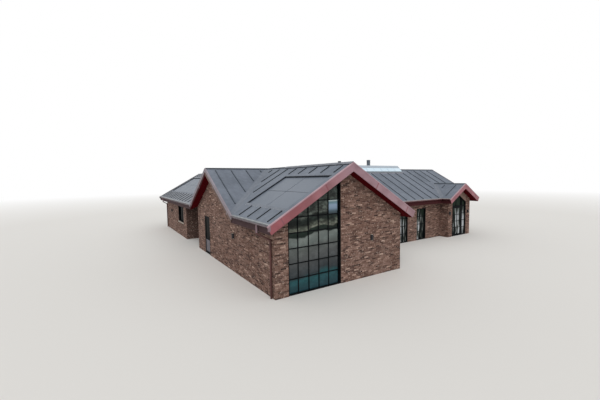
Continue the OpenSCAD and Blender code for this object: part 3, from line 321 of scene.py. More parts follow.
def makeWestVergePaint():
    # Coated boards: their upper half painted grey-rose as the sky's reflection; their lower half painted shade, dull
    # brown on the south rake and dark red under the north one, where the soffit lies in shade.
    add, paint, place = newMaterial("grey-rose verge board", Roughness=0.6, Specular_IOR_Level=0.08)
    axes = add("SeparateXYZ", [place])
    off = add("Math", [axes[1], house["ridgeY"]], operation="SUBTRACT")[0]
    reach = add("Math", [off], operation="ABSOLUTE")[0]
    run = add("Math", [reach, rise], operation="MULTIPLY")[0]
    drop = add("Math", [axes[2], house["ridge"]], operation="SUBTRACT")[0]
    out = add("Math", [drop, fall, run], operation="MULTIPLY_ADD")[0]
    # painted shade below the board's middle, painted sky reflection above it
    lower = add("Math", [out, zones["boardMiddle"]], operation="LESS_THAN")[0]
    north = add("Math", [off, 0.0], operation="GREATER_THAN")[0]
    sheenHalf = mottle(add, place, 0.4, "#847a80", "#968f95", 4.0)
    shadeHalf = add("Mix", {0: north, 6: "#6c5952", 7: "#3a0d11"}, data_type="RGBA")[2]
    return paint(add("Mix", {0: lower, 6: sheenHalf, 7: shadeHalf}, data_type="RGBA")[2])


def makeCoated(name, dark, light, blotch=0.5, **sockets):
    # Sheet steel or board with a baked or brushed coat: an even colour that has dulled in faint patches.
    add, paint, place = newMaterial(name, **sockets)
    dull = add("TexNoise", {"Vector": place, "Scale": 1 / blotch, "Detail": 4.0})["Fac"]
    spread = add("MapRange", {"Value": dull, "From Min": 0.35, "From Max": 0.65})[0]
    return paint(add("Mix", {0: spread, 6: dark, 7: light}, data_type="RGBA")[2],
                 relief(add, place, 0.012, 0.0006, 0.35))   # orange peel of the coat


def makeEavesPaint():
    # Coated fascia boards, painted dark as the shade under the gutters: deep red round the terrace, brown along the
    # west and the back.
    add, paint, place = newMaterial("fascia board in painted shade", Roughness=0.7, Specular_IOR_Level=0.05)
    axes = add("SeparateXYZ", [place])
    eastward = add("Math", [axes[0], house["wingMid"]], operation="GREATER_THAN")[0]
    southward = add("Math", [axes[1], house["ridgeY"]], operation="LESS_THAN")[0]
    terrace = add("Math", [eastward, southward], operation="MULTIPLY")[0]
    # painted shade under the gutters: both colours are darkened
    brown = mottle(add, place, 0.4, "#403033", "#524143", 4.0)
    red = mottle(add, place, 0.4, "#38191c", "#4b2729", 4.0)
    return paint(add("Mix", {0: terrace, 6: brown, 7: red}, data_type="RGBA")[2])


def makeFrontGlazing():
    # Coated double glazing over a dark room, with painted reflections: low ground and sky lie in it in level bands,
    # pane by pane.
    add, paint, place = newMaterial("front glazing", Roughness=0.07, IOR=1.5, Specular_IOR_Level=0.2)
    axes = add("SeparateXYZ", [place])
    tilt = add("Attribute", attribute_name="tilt")["Fac"]       # each pane sits a little differently
    sky = add("Attribute", attribute_name="sky")["Fac"]
    swell = add("TexNoise", {"Vector": place, "Scale": 1 / 0.9, "Detail": 3.0})["Fac"]
    across = add("Math", [axes[0], -zones["bandSlant"], zones["bandSlant"] * zones["bandMiddle"]],
                 operation="MULTIPLY_ADD")[0]
    waved = add("Math", [swell, 0.5, across], operation="MULTIPLY_ADD")[0]
    level = add("Math", [axes[2], waved], operation="ADD")[0]
    tipped = add("Math", [level, tilt], operation="ADD")[0]
    band = add("MapRange", {"Value": tipped, "From Min": 0.25, "From Max": 4.75})[0]   # swell adds 0.25
    mirrored = add("ValToRGB", [band], [
        (0.0, "#2a4750"), (0.12, "#285459"), (0.155, "#363d41"), (0.24, "#4b4f51"), (0.3, "#585b5c"),
        (0.38, "#5e6361"), (0.43, "#6e7774"), (0.487, "#7a827e"), (0.497, "#16241e"), (0.54, "#1b2a23"),
        (0.552, "#787c70"), (0.585, "#5f665b"), (0.615, "#1f2b26"), (0.655, "#242f2b"), (0.675, "#6c746d"),
        (0.75, "#56605a"), (0.85, "#3d4743"), (1.0, "#2c3533")])["Color"]
    flattened = add("Mapping", {"Vector": place, "Scale": (1, 1, 1.6)})[0]
    scrub = add("TexNoise", {"Vector": flattened, "Scale": 1 / 0.3, "Detail": 4.0, "Roughness": 0.6})["Fac"]
    clumps = add("ValToRGB", [scrub], [(0.36, "#1c1c1c"), (0.5, "#787878"), (0.64, "#cacaca")])["Color"]
    upper = add("MapRange", {"Value": axes[2], "From Min": 2.2, "From Max": 2.6, "To Min": 0.25, "To Max": 0.85})[0]
    mottled = add("Mix", {0: upper, 6: mirrored, 7: clumps}, data_type="RGBA", blend_type="OVERLAY")[2]
    height = add("MapRange", {"Value": axes[2], "From Min": 3.0, "From Max": 3.5})[0]
    bright = add("ValToRGB", [height], [
        (0.0, "#3d4a50"), (0.15, "#4f616c"), (0.35, "#7d92a8"), (0.62, "#8ca0b8"), (0.78, "#6d8b98"),
        (0.88, "#6a858f"), (0.95, "#b9c9cc")])["Color"]
    return paint(add("Mix", {0: sky, 6: mottled, 7: bright}, data_type="RGBA")[2])


def makeSideGlazing():
    # Coated double glazing with painted reflections: pale uprights on the terrace side, dark green above them, dim at
    # the back, near black in the west walls.
    add, paint, place = newMaterial("side glazing", Roughness=0.1, IOR=1.5, Specular_IOR_Level=0.006)
    axes = add("SeparateXYZ", [place])
    upright = add("Mapping", {"Vector": place, "Scale": (1, 1, 0.14)})[0]
    columns = add("TexNoise", {"Vector": upright, "Scale": 1 / 0.2, "Detail": 2.0})["Fac"]
    # painted reflection: pale upright streaks low down, going dark green towards the top
    pale = add("ValToRGB", [columns], [
        (0.42, "#121719"), (0.48, "#3e433f"), (0.52, "#6d706d"), (0.58, "#b3b7bb")])["Color"]
    top = add("MapRange", {"Value": axes[2], "From Min": 1.2, "From Max": 2.3})[0]
    shaded = add("Mix", {0: top, 6: pale, 7: "#2b352d"}, data_type="RGBA")[2]
    dim = add("Mix", {0: columns, 6: "#1a2022", 7: "#454e50"}, data_type="RGBA")[2]
    backSide = add("Math", [axes[1], zones["backGlass"]], operation="GREATER_THAN")[0]
    away = add("Mix", {0: backSide, 6: shaded, 7: dim}, data_type="RGBA")[2]
    westSide = add("Math", [axes[0], zones["westGlass"]], operation="LESS_THAN")[0]
    return paint(add("Mix", {0: westSide, 6: away, 7: "#0d0f10"}, data_type="RGBA")[2])


def makeRoofGlazing():
    # Opal glass over the ridge, with a painted reflection of the sky in it.
    add, paint, place = newMaterial("opal roof glazing", Roughness=0.12)
    return paint(mottle(add, place, 0.8, "#c2dcec", "#dcebf5"))


def makeLanternMetal():
    # Natural anodised aluminium: grey kerb and rafters, a slightly paler capping along the ridge.
    add, paint, place = newMaterial("anodised aluminium", Roughness=0.6, Specular_IOR_Level=0.3)
    height = add("SeparateXYZ", [place])[2]
    grey = mottle(add, place, 0.3, "#757b80", "#8d9398", 3.0)
    pale = mottle(add, place, 0.3, "#9faab4", "#b5bfc9", 3.0)
    capping = add("Math", [height, zones["lanternCapping"]], operation="GREATER_THAN")[0]
    return paint(add("Mix", {0: capping, 6: grey, 7: pale}, data_type="RGBA")[2])


def makeSolarGlass():
    # Dark cells under matt etched glass, painted grey-blue as the sky's reflection: the cells only show as faint
    # lines 156 mm apart.
    add, paint, place = newMaterial("solar cell glass", Roughness=0.45, Specular_IOR_Level=0.35)
    onSlope = add("Mapping", {"Vector": place, "Scale": (1 / math.cos(pitch), 1, 0)})[0]
    cells = add("TexBrick", {
        "Vector": onSlope, "Color1": "#616a76", "Color2": "#646d79", "Mortar": "#6b747f", "Scale": 1.0,
        "Mortar Size": 0.004, "Brick Width": 0.156, "Row Height": 0.156}, offset=0.0, squash=1.0)["Color"]
    return paint(mottle(add, place, 1.1, cells, "#6d7581", 3.0))


def makeStone(name, dark, light):
    # Cast stone: pale, fine sandy grain.
    add, paint, place = newMaterial(name, Roughness=0.9)
    grain = add("TexNoise", {"Vector": place, "Scale": 1 / 0.03, "Detail": 5.0})["Fac"]
    return paint(add("Mix", {0: grain, 6: dark, 7: light}, data_type="RGBA")[2],
                 add("Bump", {"Height": grain, "Distance": 0.001, "Strength": 0.5})[0])


def makeSoffitBoards():
    # Spruce boards 95 mm wide, stained dark red, laid down the slope with a shadow line between them.
    add, paint, place = newMaterial("stained soffit boards", Roughness=0.9, Specular_IOR_Level=0.02)
    axes = add("SeparateXYZ", [place])
    facing = add("SeparateXYZ", [add("NewGeometry")["Normal"]])
    lean = add("Math", [facing[0]], operation="ABSOLUTE")[0]
    sideways = add("Math", [lean, 0.25], operation="GREATER_THAN")[0]
    across = add("Mix", {0: sideways, 2: axes[0], 3: axes[1]}, data_type="FLOAT")[0]
    board = add("Math", [across, 0.095], operation="DIVIDE")[0]
    part = add("Math", [board], operation="FRACT")[0]
    joint = add("Math", [part, 0.1], operation="LESS_THAN")[0]
    stain = mottle(add, place, 0.15, "#48090e", "#5c1016", 4.0)
    return paint(add("Mix", {0: joint, 6: stain, 7: "#2c0508"}, data_type="RGBA")[2])


clay = makeBrickClay()
mortar = makeMortar()
# lit copy: the felt painted paler for the light on the front wing's roof
wingFelt = makeFelt("slate felt in the light", "#727a86", "#88909c")
rearFelt = makeFelt("slate felt at the back", "#858a92", "#9a9fa7")
mainFelt = makeFelt("slate felt", "#6f7783", "#858d9a")
valleyFelt = makeFelt("valley felt", "#7a818c", "#8f959f")
battenFelt = makeBattenFelt()
redBoard = makeVergePaint()
redCap = makeCoated("grey-red verge capping", "#a08089", "#b2949c", Roughness=0.45)
jointRed = makeCoated("dark red joint strip", "#7a4149", "#865058", Roughness=0.5)
westBoard = makeWestVergePaint()
# painted sky reflection: the red coat shown grey-rose, as on the west rake; the back and east verges take it too
greyRose = makeCoated("grey-rose coated sheet", "#857c82", "#98919a", Roughness=0.6, Specular_IOR_Level=0.12)
shadedFascia = makeEavesPaint()
soffitStain = makeSoffitBoards()
zinc = makeCoated("weathered zinc", "#6b6065", "#857c80", 0.18, Roughness=0.65, Specular_IOR_Level=0.1)
paleZinc = makeCoated("pale folded zinc", "#85888b", "#969a9c", 0.2, Roughness=0.5, Metallic=0.2)
roseZinc = makeCoated("zinc with red coat", "#7e6a70", "#8f7a80", 0.2, Roughness=0.6, Specular_IOR_Level=0.1)
terraceDrip = makeCoated("grey drip sheet", "#827d7c", "#918b8a", 0.3, Roughness=0.55)
ventCap = makeCoated("grey ridge vent", "#676b73", "#7c8088", 0.3, Roughness=0.6, Specular_IOR_Level=0.3)
glazingCap = makeCoated("pale glazing cap", "#b3c4d1", "#c6d5e0", 0.3, Roughness=0.5)
kerbLead = makeCoated("grey lead flashing", "#73737e", "#868590", 0.25, Roughness=0.6)
wineMetal = makeCoated("wine red coated steel", "#4b2429", "#64353c", Roughness=0.45)
pipeMetal = makeCoated("brown red coated steel", "#43221f", "#56312c", Roughness=0.5)
blackSteel = makeCoated("black powder coat", "#0b0d0f", "#14171a", 0.2, Roughness=0.55, Specular_IOR_Level=0.03)
flueSteel = makeCoated("blue-grey coated flue", "#505863", "#5f6771", 0.15, Roughness=0.5)
darkMetal = makeCoated("dark coated metal", "#262629", "#353538", 0.15, Roughness=0.5, Specular_IOR_Level=0.25)
# painted shade: near-black sheet standing in for the shade in the panels' recess
upstandShade = makeCoated("upstand sheet in painted shade", "#141a23", "#1e2530", 0.3, Roughness=0.6)
panelFrame = makeCoated("dark panel frame", "#68707b", "#727983", 0.4, Roughness=0.45)
lanternMetal = makeLanternMetal()
frontGlazing = makeFrontGlazing()
sideGlazing = makeSideGlazing()
roofGlazing = makeRoofGlazing()
solarGlass = makeSolarGlass()
sillStone = makeStone("cast stone", "#aaa397", "#c6bfb3")
floorScreed = makeStone("pale screed", "#a79d90", "#b9afa2")
lampLens = makeCoated("frosted lens", "#cfc8b8", "#e6e0d2", 0.05, Roughness=0.35)
panelPaint = makeCoated("grey coated door panel", "#5e5b62", "#6d6970", 0.3, Roughness=0.55, Specular_IOR_Level=0.2)

finishes = [
    (mortar, [name for name in nodes if name.endswith(("_wall", "_walls", "lintels", "_band"))]),
    (floorScreed, ["ground_floor"]),
    (wingFelt, ["front_roof"]),
    (rearFelt, ["rear_roof"]),
    (mainFelt, ["main_roof", "bay_roof"]),
    (battenFelt, ["batten_seams", "ridge_caps"]),
    (ventCap, ["vent_ridge"]),
    (redBoard, ["front_verge_boards", "bay_verge_boards"]),
    (westBoard, ["west_verge_boards"]),
    (greyRose, ["hidden_verge_boards"]),
    (shadedFascia, ["eaves_boards"]),
    (soffitStain, ["soffit_boards"]),
    (zinc, ["zinc_gutters"]),
    (wineMetal, ["red_gutters"]),
    (pipeMetal, ["downpipes"]),
    (lanternMetal, ["lantern_frame"]),
    (roofGlazing, ["lantern_glass"]),
    (solarGlass, ["front_solar_panels", "rear_solar_panels"]),
    (flueSteel, ["chimney"]),
    (darkMetal, ["roof_vent", "wall_lamps"]),
    (blackSteel, ["front_window_frame", "window_frames", "bay_window_frame", "west_door_frame",
                  "west_door_leaf", "bay_door_leaf"]),
    (frontGlazing, ["front_window_glass"]),
    (sideGlazing, ["window_glass", "west_door_glass", "bay_door_glass"]),
    (sillStone, ["window_sills"]),
]
for material, names in finishes:
    for name in names:
        nodes[name].data.materials.clear()
        nodes[name].data.materials.append(material)
print("materials made")


# Helpers for pieces

fullTurn = 2 * math.pi
weld = 0.00005    # corners nearer than this are one


def addBox(bm, first, second, basis=Matrix(), bevel=0.0):
    # A box between two opposite corners, in any order, turned by a basis
    a, b = Vector(first), Vector(second)
    size = [abs(b[i] - a[i]) for i in range(3)]
    verts = bmesh.ops.create_cube(bm, size=1, matrix=basis @ Matrix.Translation((a + b) / 2) @ Matrix.Diagonal(
        (*size, 1)))["verts"]
    if bevel:
        edges = list(dict.fromkeys(edge for vert in verts for edge in vert.link_edges))
        bmesh.ops.bevel(bm, geom=edges, offset=bevel, affect="EDGES", segments=1, profile=0.5, material=-1)
    return verts


def addStrip(bm, start, end, normal, across, height):
    # A flat strip from start to end; across counts to the right, looking along it with the normal up
    start, end, normal = Vector(start), Vector(end), Vector(normal)
    along = (end - start).normalized()
    basis = Matrix.Translation(start) @ Matrix((along, along.cross(normal), normal)).transposed().to_4x4()
    addBox(bm, (0, across[0], height[0]), ((end - start).length, across[1], height[1]), basis)


def addRod(bm, start, end, radius, sides, tip=None):
    # A round bar from start to end, or a cone where the tip has its own radius
    start, end = Vector(start), Vector(end)
    turn = (end - start).to_track_quat("Z", "Y").to_matrix().to_4x4()
    bmesh.ops.create_cone(bm, cap_ends=True, segments=sides, radius1=radius,
                          radius2=radius if tip is None else tip, depth=(end - start).length,
                          matrix=Matrix.Translation((start + end) / 2) @ turn)


def addRing(bm, centre, axis, inner, outer, width, sweep=fullTurn, start=(1, 0, 0), steps=32):
    # A flat band round an axis: its section is spun from the start direction through the sweep
    centre, axis, start = Vector(centre), Vector(axis), Vector(start)
    basis = Matrix((axis, start, axis.cross(start))).transposed().to_4x4()
    section = bmesh.ops.create_grid(bm, x_segments=1, y_segments=1, size=0.5, matrix=Matrix.Translation(
        centre + start * (inner + outer) / 2) @ basis @ Matrix.Diagonal((width, outer - inner, 1, 1)))["verts"]
    face = section[0].link_faces[0]
    bmesh.ops.spin(bm, geom=[face] + face.edges[:] + face.verts[:], cent=centre, axis=axis, angle=sweep, steps=steps,
                   use_merge=sweep == fullTurn, use_duplicate=False)


def mergePart(bm, part):
    # Moves all of one mesh into another
    mesh = bpy.data.meshes.new("part")
    part.to_mesh(mesh)
    part.free()
    bm.from_mesh(mesh)
    bpy.data.meshes.remove(mesh)


def makePiece(name, bm, material, replaced=(), body="house"):
    mesh = bpy.data.meshes.new(name)
    bmesh.ops.recalc_face_normals(bm, faces=bm.faces[:])
    bm.to_mesh(mesh)
    bm.free()
    mesh.materials.append(material)
    piece = bpy.data.objects.new(name, mesh)
    bpy.context.scene.collection.objects.link(piece)
    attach(piece, body)
    if replaced:
        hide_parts(*replaced)


def cutAway(bm, point, normal):
    # Cuts everything on the normal's side off, and closes what was cut
    cut = bmesh.ops.bisect_plane(bm, geom=bm.verts[:] + bm.edges[:] + bm.faces[:], plane_co=point,
                                 plane_no=normal, clear_outer=True)["geom_cut"]
    rims = [e for e in cut if isinstance(e, bmesh.types.BMEdge) and e.is_boundary]
    if rims:
        bmesh.ops.holes_fill(bm, edges=rims, sides=0)


def islandBoxes(name):
    # The box of each separate solid in a CAD node
    bm = bmesh.new()
    bm.from_mesh(nodes[name].data)
    bmesh.ops.remove_doubles(bm, verts=bm.verts[:], dist=weld)
    boxes, seen = [], set()
    for start in bm.verts:
        if start in seen:
            continue
        seen.add(start)
        queue, reached = [start], []
        while queue:
            vert = queue.pop()
            reached.append(vert.co.copy())
            for edge in vert.link_edges:
                other = edge.other_vert(vert)
                if other not in seen:
                    seen.add(other)
                    queue.append(other)
        boxes.append([Vector(f(p[i] for p in reached) for i in range(3)) for f in (min, max)])
    bm.free()
    return boxes


# Bricks

brickwork = {
    "length": 0.228, "height": 0.0547, "joint": 0.012,   # Danish format: 228 x 54 mm, 12 mm joints
    "proud": 0.004,      # how far a brick stands out of its mortar
    "buried": 0.003,
    "shortest": 0.03,    # a smaller closer is left to the mortar
    "lap": 0.01,         # a frame that laps a course by less leaves it whole
    "tallFrame": 2.6,    # a frame that reaches above this clears the wall up to its top
    "clearTo": 9.0,
    "tones": 0.9,        # most bricks take tones from 0 to this
    "paleFrom": 0.92, "paleSpan": 0.08, "paleShare": 0.05,
    "porchShade": 0.2,     # painted shade: the porch's bricks are darkened for the deep shade in its recess
    "seed": 7,
}
openings = [box for name in ("front_window_frame", "window_frames", "bay_window_frame", "west_door_frame")
            for box in islandBoxes(name)]


def wallFace(start, end, out, top, cuts=(), bottom=0.0, wraps=(0, 0), blind=False, dim=1.0):
    # A face from start to end seen from its outer side; each cut is a point and the way that is cleared
    return {"start": Vector(start), "end": Vector(end), "out": Vector(out), "top": top, "cuts": cuts,
            "bottom": bottom, "wraps": wraps, "blind": blind, "dim": dim}


def openingsIn(face, along, length):
    # Spans of the frames that stand in this face: (from, to, bottom, top)
    spans = []
    for a, b in () if face["blind"] else openings:
        middle = (a + b) / 2
        if not 0 < (face["start"] - middle.xy).dot(face["out"]) < house["wall"]:
            continue
        near, far = sorted((corner.xy - face["start"]).dot(along) for corner in (a, b))
        if far > 0 and near < length:
            spans.append((near, far, a.z, brickwork["clearTo"] if b.z > brickwork["tallFrame"] else b.z))
    return spans


def layCourses(bm, face, rng, tone):
    k = brickwork
    along = (face["end"] - face["start"]).normalized()
    length = (face["end"] - face["start"]).length
    spans = openingsIn(face, along, length)
    pace, lift = k["length"] + k["joint"], k["height"] + k["joint"]
    firstEnd, lastEnd = -face["wraps"][0] * k["proud"], length + face["wraps"][1] * k["proud"]
    for course in range(int(face["bottom"] / lift), int(face["top"] / lift) + 1):
        z0, z1 = max(course * lift, face["bottom"]), min(course * lift + k["height"], face["top"])
        if z1 - z0 < k["shortest"] / 2:
            continue
        runs, start = [], firstEnd
        for near, far in sorted(span[:2] for span in spans if span[2] < z1 and span[3] > z0 + k["lap"]):
            if near > start:
                runs.append((start, min(near, lastEnd)))
            start = max(start, far)
        if start < lastEnd:
            runs.append((start, lastEnd))
        offset = (course % 2) * pace / 2
        for runStart, runEnd in runs:
            index = math.floor((runStart - offset) / pace)
            while index * pace + offset < runEnd:
                s0 = max(index * pace + offset, runStart)
                s1 = min(index * pace + offset + k["length"], runEnd)
                index += 1
                shade = (rng.random() * k["tones"] if rng.random() > k["paleShare"]
                         else k["paleFrom"] + rng.random() * k["paleSpan"]) * face["dim"]
                if s1 - s0 < k["shortest"]:
                    continue
                corners = [(face["start"] + along * s + face["out"] * d).to_3d() + Vector((0, 0, z))
                           for s, d, z in ((s0, -k["buried"], z0), (s1, k["proud"], z1))]
                for vert in addBox(bm, *corners):
                    vert[tone] = shade


def layWall(name, faces, rng):
    bm = bmesh.new()
    bm.verts.layers.float.new("tone")
    for face in faces:
        part = bmesh.new()
        layCourses(part, face, rng, part.verts.layers.float.new("tone"))
        for point, normal in face["cuts"]:
            cutAway(part, point, normal)
        mergePart(bm, part)
    print(name, len(bm.faces), "faces")
    makePiece(name, bm, clay)


def gableCuts(middle, along, apex):
    # The two rakes of a gable whose middle is a point of the row frame
    along = Vector(along).to_3d()
    peak = Vector(middle).to_3d() + Vector((0, 0, apex))
    return [(peak, along * slope + Vector((0, 0, 1))), (peak, along * -slope + Vector((0, 0, 1)))]


def makeBrickwork():
    h = house
    gable, bayGable, top = h["ridge"] - h["under"], h["bayRidge"] - h["under"], h["wallTop"]
    frontWest, frontEast = ((h[x], h["front"]) for x in ("west", "wingEast"))
    mainWest, mainInner, mainEast = ((h[x], h["mainFront"]) for x in ("west", "wingEast", "east"))
    backWest, backInner, backEast = ((h[x], h["mainBack"]) for x in ("west", "wingEast", "east"))
    endWest, endEast = ((h[x], h["rear"]) for x in ("west", "wingEast"))
    porchWest, porchNorth = ((h[x], h["porchEnd"]) for x in ("west", "porchBack"))
    porchSouth = h["porchBack"], h["mainBack"]
    bayWest, bayEast = ((h[x], h["bayFront"]) for x in ("bayWest", "bayEast"))
    bayRootWest, bayRootEast = ((h[x], h["mainFront"]) for x in ("bayWest", "bayEast"))
    frontRakes = gableCuts((h["wingMid"], h["front"]), (1, 0), gable)
    sideRakes = gableCuts((h["west"], h["ridgeY"]), (0, 1), gable)
    bayRakes = gableCuts((h["bayMid"], h["bayFront"]), (1, 0), bayGable)
    # the porch's bricks are darkened as painted shade
    porch = {"top": top + slope * (h["porchBack"] - h["west"]), "dim": brickwork["porchShade"]}
    glassLow, glassHigh = islandBoxes("bay_window_frame")[0]
    glassMid = (glassLow + glassHigh) / 2
    shoulder = glassHigh.z - slope * (glassHigh.x - glassMid.x)
    peak = Vector((glassMid.x, h["bayFront"], glassHigh.z))
    walls = {
        "front_gable": [wallFace(frontWest, frontEast, (0, -1), gable, frontRakes, wraps=(1, 1))],
        "west_wall": [wallFace(frontWest, mainWest, (-1, 0), top),
                      wallFace(mainWest, backWest, (-1, 0), gable, sideRakes)],
        "front_east": [wallFace(frontEast, mainInner, (1, 0), top)],
        "main_front": [wallFace(mainInner, bayRootWest, (0, -1), top),
                       wallFace(bayRootEast, mainEast, (0, -1), top, wraps=(0, 1))],
        "bay": [wallFace(bayWest, bayRootWest, (-1, 0), top), wallFace(bayEast, bayRootEast, (1, 0), top),
                wallFace(bayWest, bayEast, (0, -1), bayGable, bayRakes, wraps=(1, 1))],
        "bay_band": [wallFace(bayWest, bayEast, (0, -1), bayGable, bayRakes + [
            (peak, Vector((side, 0, 0))), (peak, Vector((-side * slope, 0, -1))),
            (glassLow if side > 0 else glassHigh, Vector((-side, 0, 0)))], bottom=shoulder, blind=True)
            for side in (1, -1)],
        "east_gable": [wallFace(mainEast, backEast, (1, 0), gable, sideRakes)],
        "back_wall": [wallFace(backInner, backEast, (0, 1), top, wraps=(0, 1))],
        "rear_east": [wallFace(backInner, endEast, (1, 0), top)],
        "rear_gable": [wallFace(endWest, endEast, (0, 1), gable, frontRakes, wraps=(1, 1))],
        "rear_west": [wallFace(porchWest, endWest, (-1, 0), top, wraps=(1, 0))],
        "porch": [wallFace(backWest, porchSouth, (0, 1), cuts=frontRakes[1:], wraps=(1, 0), **porch),
                  wallFace(porchSouth, porchNorth, (-1, 0), **porch),
                  wallFace(porchWest, porchNorth, (0, -1), cuts=frontRakes[1:], **porch)],
    }
    rng = random.Random(brickwork["seed"])
    for name, faces in walls.items():
        layWall("bricks_" + name, faces, rng)


makeBrickwork()
print("bricks laid")


# Verges: cappings over the verge boards, and cover strips at the boards' joints

verges = {
    "capTurn": 0.06,      # how far the capping lies in over the covering
    "capDrip": 0.008,     # how far it stands before the board
    "lip": 0.035,         # its turned-down edge
    "tuck": 0.0005,       # how far that edge runs up into the sheet
    "pastRidge": 0.1,     # how far each capping runs on before the ridge cuts it
    "sheet": 0.0025,
    "boardPiece": 2.25,   # length of one board along the rake
    "firstJoint": 1.651,  # from the ridge
    "lastPiece": 0.3,     # no joint lies nearer the foot
    "coverWidth": 0.045, "coverFoot": 0.004,
}


def dressVerge(name, pair, face, outward, half, capFinish, coverFinish):
    # pair names the two slopes, face is the board's outer face along their ridge
    v = verges
    rake = (half + house["footOut"]) / fall - house["boardRise"] * rise
    top, foot = house["boardRise"] * fall, -house["under"] * fall
    drip, turn = face + outward * v["capDrip"], face - outward * v["capTurn"]
    behind = face + outward * (v["capDrip"] - v["sheet"])
    ridgeEnd = slopes[pair[0]].translation
    caps, covers = bmesh.new(), bmesh.new()
    for slopeName in pair:
        basis = slopes[slopeName]
        part = bmesh.new()
        addBox(part, (drip, -v["pastRidge"], top), (turn, rake, top + v["sheet"]), basis)
        addBox(part, (drip, -v["pastRidge"], top - v["lip"]), (behind, rake, top + v["tuck"]), basis)
        down = basis.col[1].to_3d()
        cutAway(part, ridgeEnd, Vector((-down.x, -down.y, 0)))
        mergePart(caps, part)
        place = v["firstJoint"]
        while place < rake - v["lastPiece"]:
            addBox(covers, (face, place - v["coverWidth"] / 2, foot + v["coverFoot"]),
                   (face + outward * v["sheet"], place + v["coverWidth"] / 2, top - v["lip"]), basis)
            place += v["boardPiece"]
    makePiece("verge_caps_" + name, caps, capFinish)
    makePiece("verge_joints_" + name, covers, coverFinish)


wingPair, mainPair, bayPair = ("wing west", "wing east"), ("main south", "main north"), ("bay west", "bay east")
dressVerge("front", wingPair, house["frontVerge"] - house["front"], -1, house["half"], redCap, jointRed)
dressVerge("west", mainPair, house["westVerge"] - house["west"], -1, house["half"], greyRose, greyRose)
dressVerge("bay", bayPair, house["bayVerge"] - house["bayFront"], -1, house["bayHalf"], redCap, jointRed)
dressVerge("rear", wingPair, house["rearVerge"] - house["front"], 1, house["half"], greyRose, greyRose)
dressVerge("east", mainPair, house["eastVerge"] - house["west"], 1, house["half"], greyRose, greyRose)
print("verges dressed")


# Roof sheets: valleys, drip flashings along the eaves, upstands round the panels, those at their head and north side
# dark as painted shade

roofSheets = {
    "seat": 0.0006, "valleySeat": 0.0004,     # clearances over the covering
    "valleyHalf": 0.15,
    "valleyFoot": 0.16, "valleyHead": 0.12,   # how far a valley's sheets stop short of its ends
    "dripUp": 0.055,      # how far the drip flashing lies up the slope
    "dripDown": 0.045,    # its turned-down edge, into the gutter
    "nose": 0.004, "lip": 0.0035,             # how far the flashing and that edge lie past the eaves
    "vergeIn": 0.03,      # how far the flashing starts inside a verge's outer face
    "sheet": 0.003,
    "apron": 0.14,        # sheet below each row of panels
}


def onWing(x, y):
    # A point of the front wing's roof
    return spot(x, y, house["ridge"] - slope * abs(x - house["half"]))


def eavesLines():
    # Where the main wing's eaves and the bay's run, measured like a spot
    h = house
    crossing = h["ridgeY"] - h["front"]
    return (crossing - h["half"] - h["eaveOut"], crossing + h["half"] + h["eaveOut"],
            h["bayWest"] - h["west"] - h["eaveOut"], h["bayEast"] - h["west"] + h["eaveOut"])


def makeValleys():
    h, r = house, roofSheets
    south, north, bayWest, bayEast = eavesLines()
    crossing, edge, far = h["ridgeY"] - h["front"], h["eaveOut"], 2 * h["half"] + h["eaveOut"]
    bayEnd = spot((bayWest + bayEast) / 2, crossing - (h["ridge"] - h["bayRidge"]) / slope, h["bayRidge"])
    eaveZ = h["ridge"] - slope * (h["half"] + edge)
    top = onWing(h["half"], crossing)
    runs = [   # start, end, and the slopes to the right and left of that way up
        (onWing(-edge, south), top, "wing west", "main south"),
        (onWing(far, south), top, "main south", "wing east"),
        (onWing(-edge, north), top, "main north", "wing west"),
        (onWing(far, north), top, "wing east", "main north"),
        (spot(bayWest, south, eaveZ), bayEnd, "bay west", "main south"),
        (spot(bayEast, south, eaveZ), bayEnd, "main south", "bay east"),
    ]
    bm = bmesh.new()
    for start, end, right, left in runs:
        way = (end - start).normalized()
        start, end = start + way * r["valleyFoot"], end - way * r["valleyHead"]
        for slopeName, across in ((right, (0, r["valleyHalf"])), (left, (-r["valleyHalf"], 0))):
            addStrip(bm, start, end, slopes[slopeName].col[2].to_3d(), across, (r["valleySeat"], r["sheet"]))
    makePiece("valley_sheets", bm, valleyFelt)


def makeDrips():
    h, r = house, roofSheets
    south, north, bayWest, bayEast = eavesLines()
    rake, bayRake = (h["half"] + h["eaveOut"]) / fall, (h["bayHalf"] + h["eaveOut"]) / fall
    fore, aft = h["frontVerge"] - h["front"] + r["vergeIn"], h["rearVerge"] - h["front"] - r["vergeIn"]
    far, outer = h["wingEast"] - h["west"] + h["eaveOut"], h["eastVerge"] - h["west"] - r["vergeIn"]
    bayFore, baySouth = h["bayVerge"] - h["bayFront"] + r["vergeIn"], south - (h["bayFront"] - h["front"])
    runs = {
        "eaves_drips": (paleZinc, "zinc", [
            ("wing west", fore, south, rake), ("wing west", north, aft, rake), ("wing east", north, aft, rake),
            ("main north", far, outer, rake)]),
        "terrace_drips": (terraceDrip, "red_boards", [
            ("wing east", fore, south, rake), ("main south", far, bayWest, rake),
            ("main south", bayEast, outer, rake), ("bay west", bayFore, baySouth, bayRake),
            ("bay east", bayFore, baySouth, bayRake)]),
    }
    for name, (finish, slot, lines) in runs.items():
        bm = bmesh.new()
        for slopeName, start, end, edge in lines:
            basis = slopes[slopeName]
            addBox(bm, (start, edge - r["dripUp"], r["seat"]), (end, edge + r["nose"], r["sheet"]), basis)
            first, last = (basis @ Vector((place, edge + r["lip"], r["sheet"])) for place in (start, end))
            out = Vector((basis.col[1].x, basis.col[1].y, 0)).normalized()
            addBox(bm, first, last + out * r["sheet"] - Vector((0, 0, r["dripDown"])))
        makePiece(name, bm, finish)


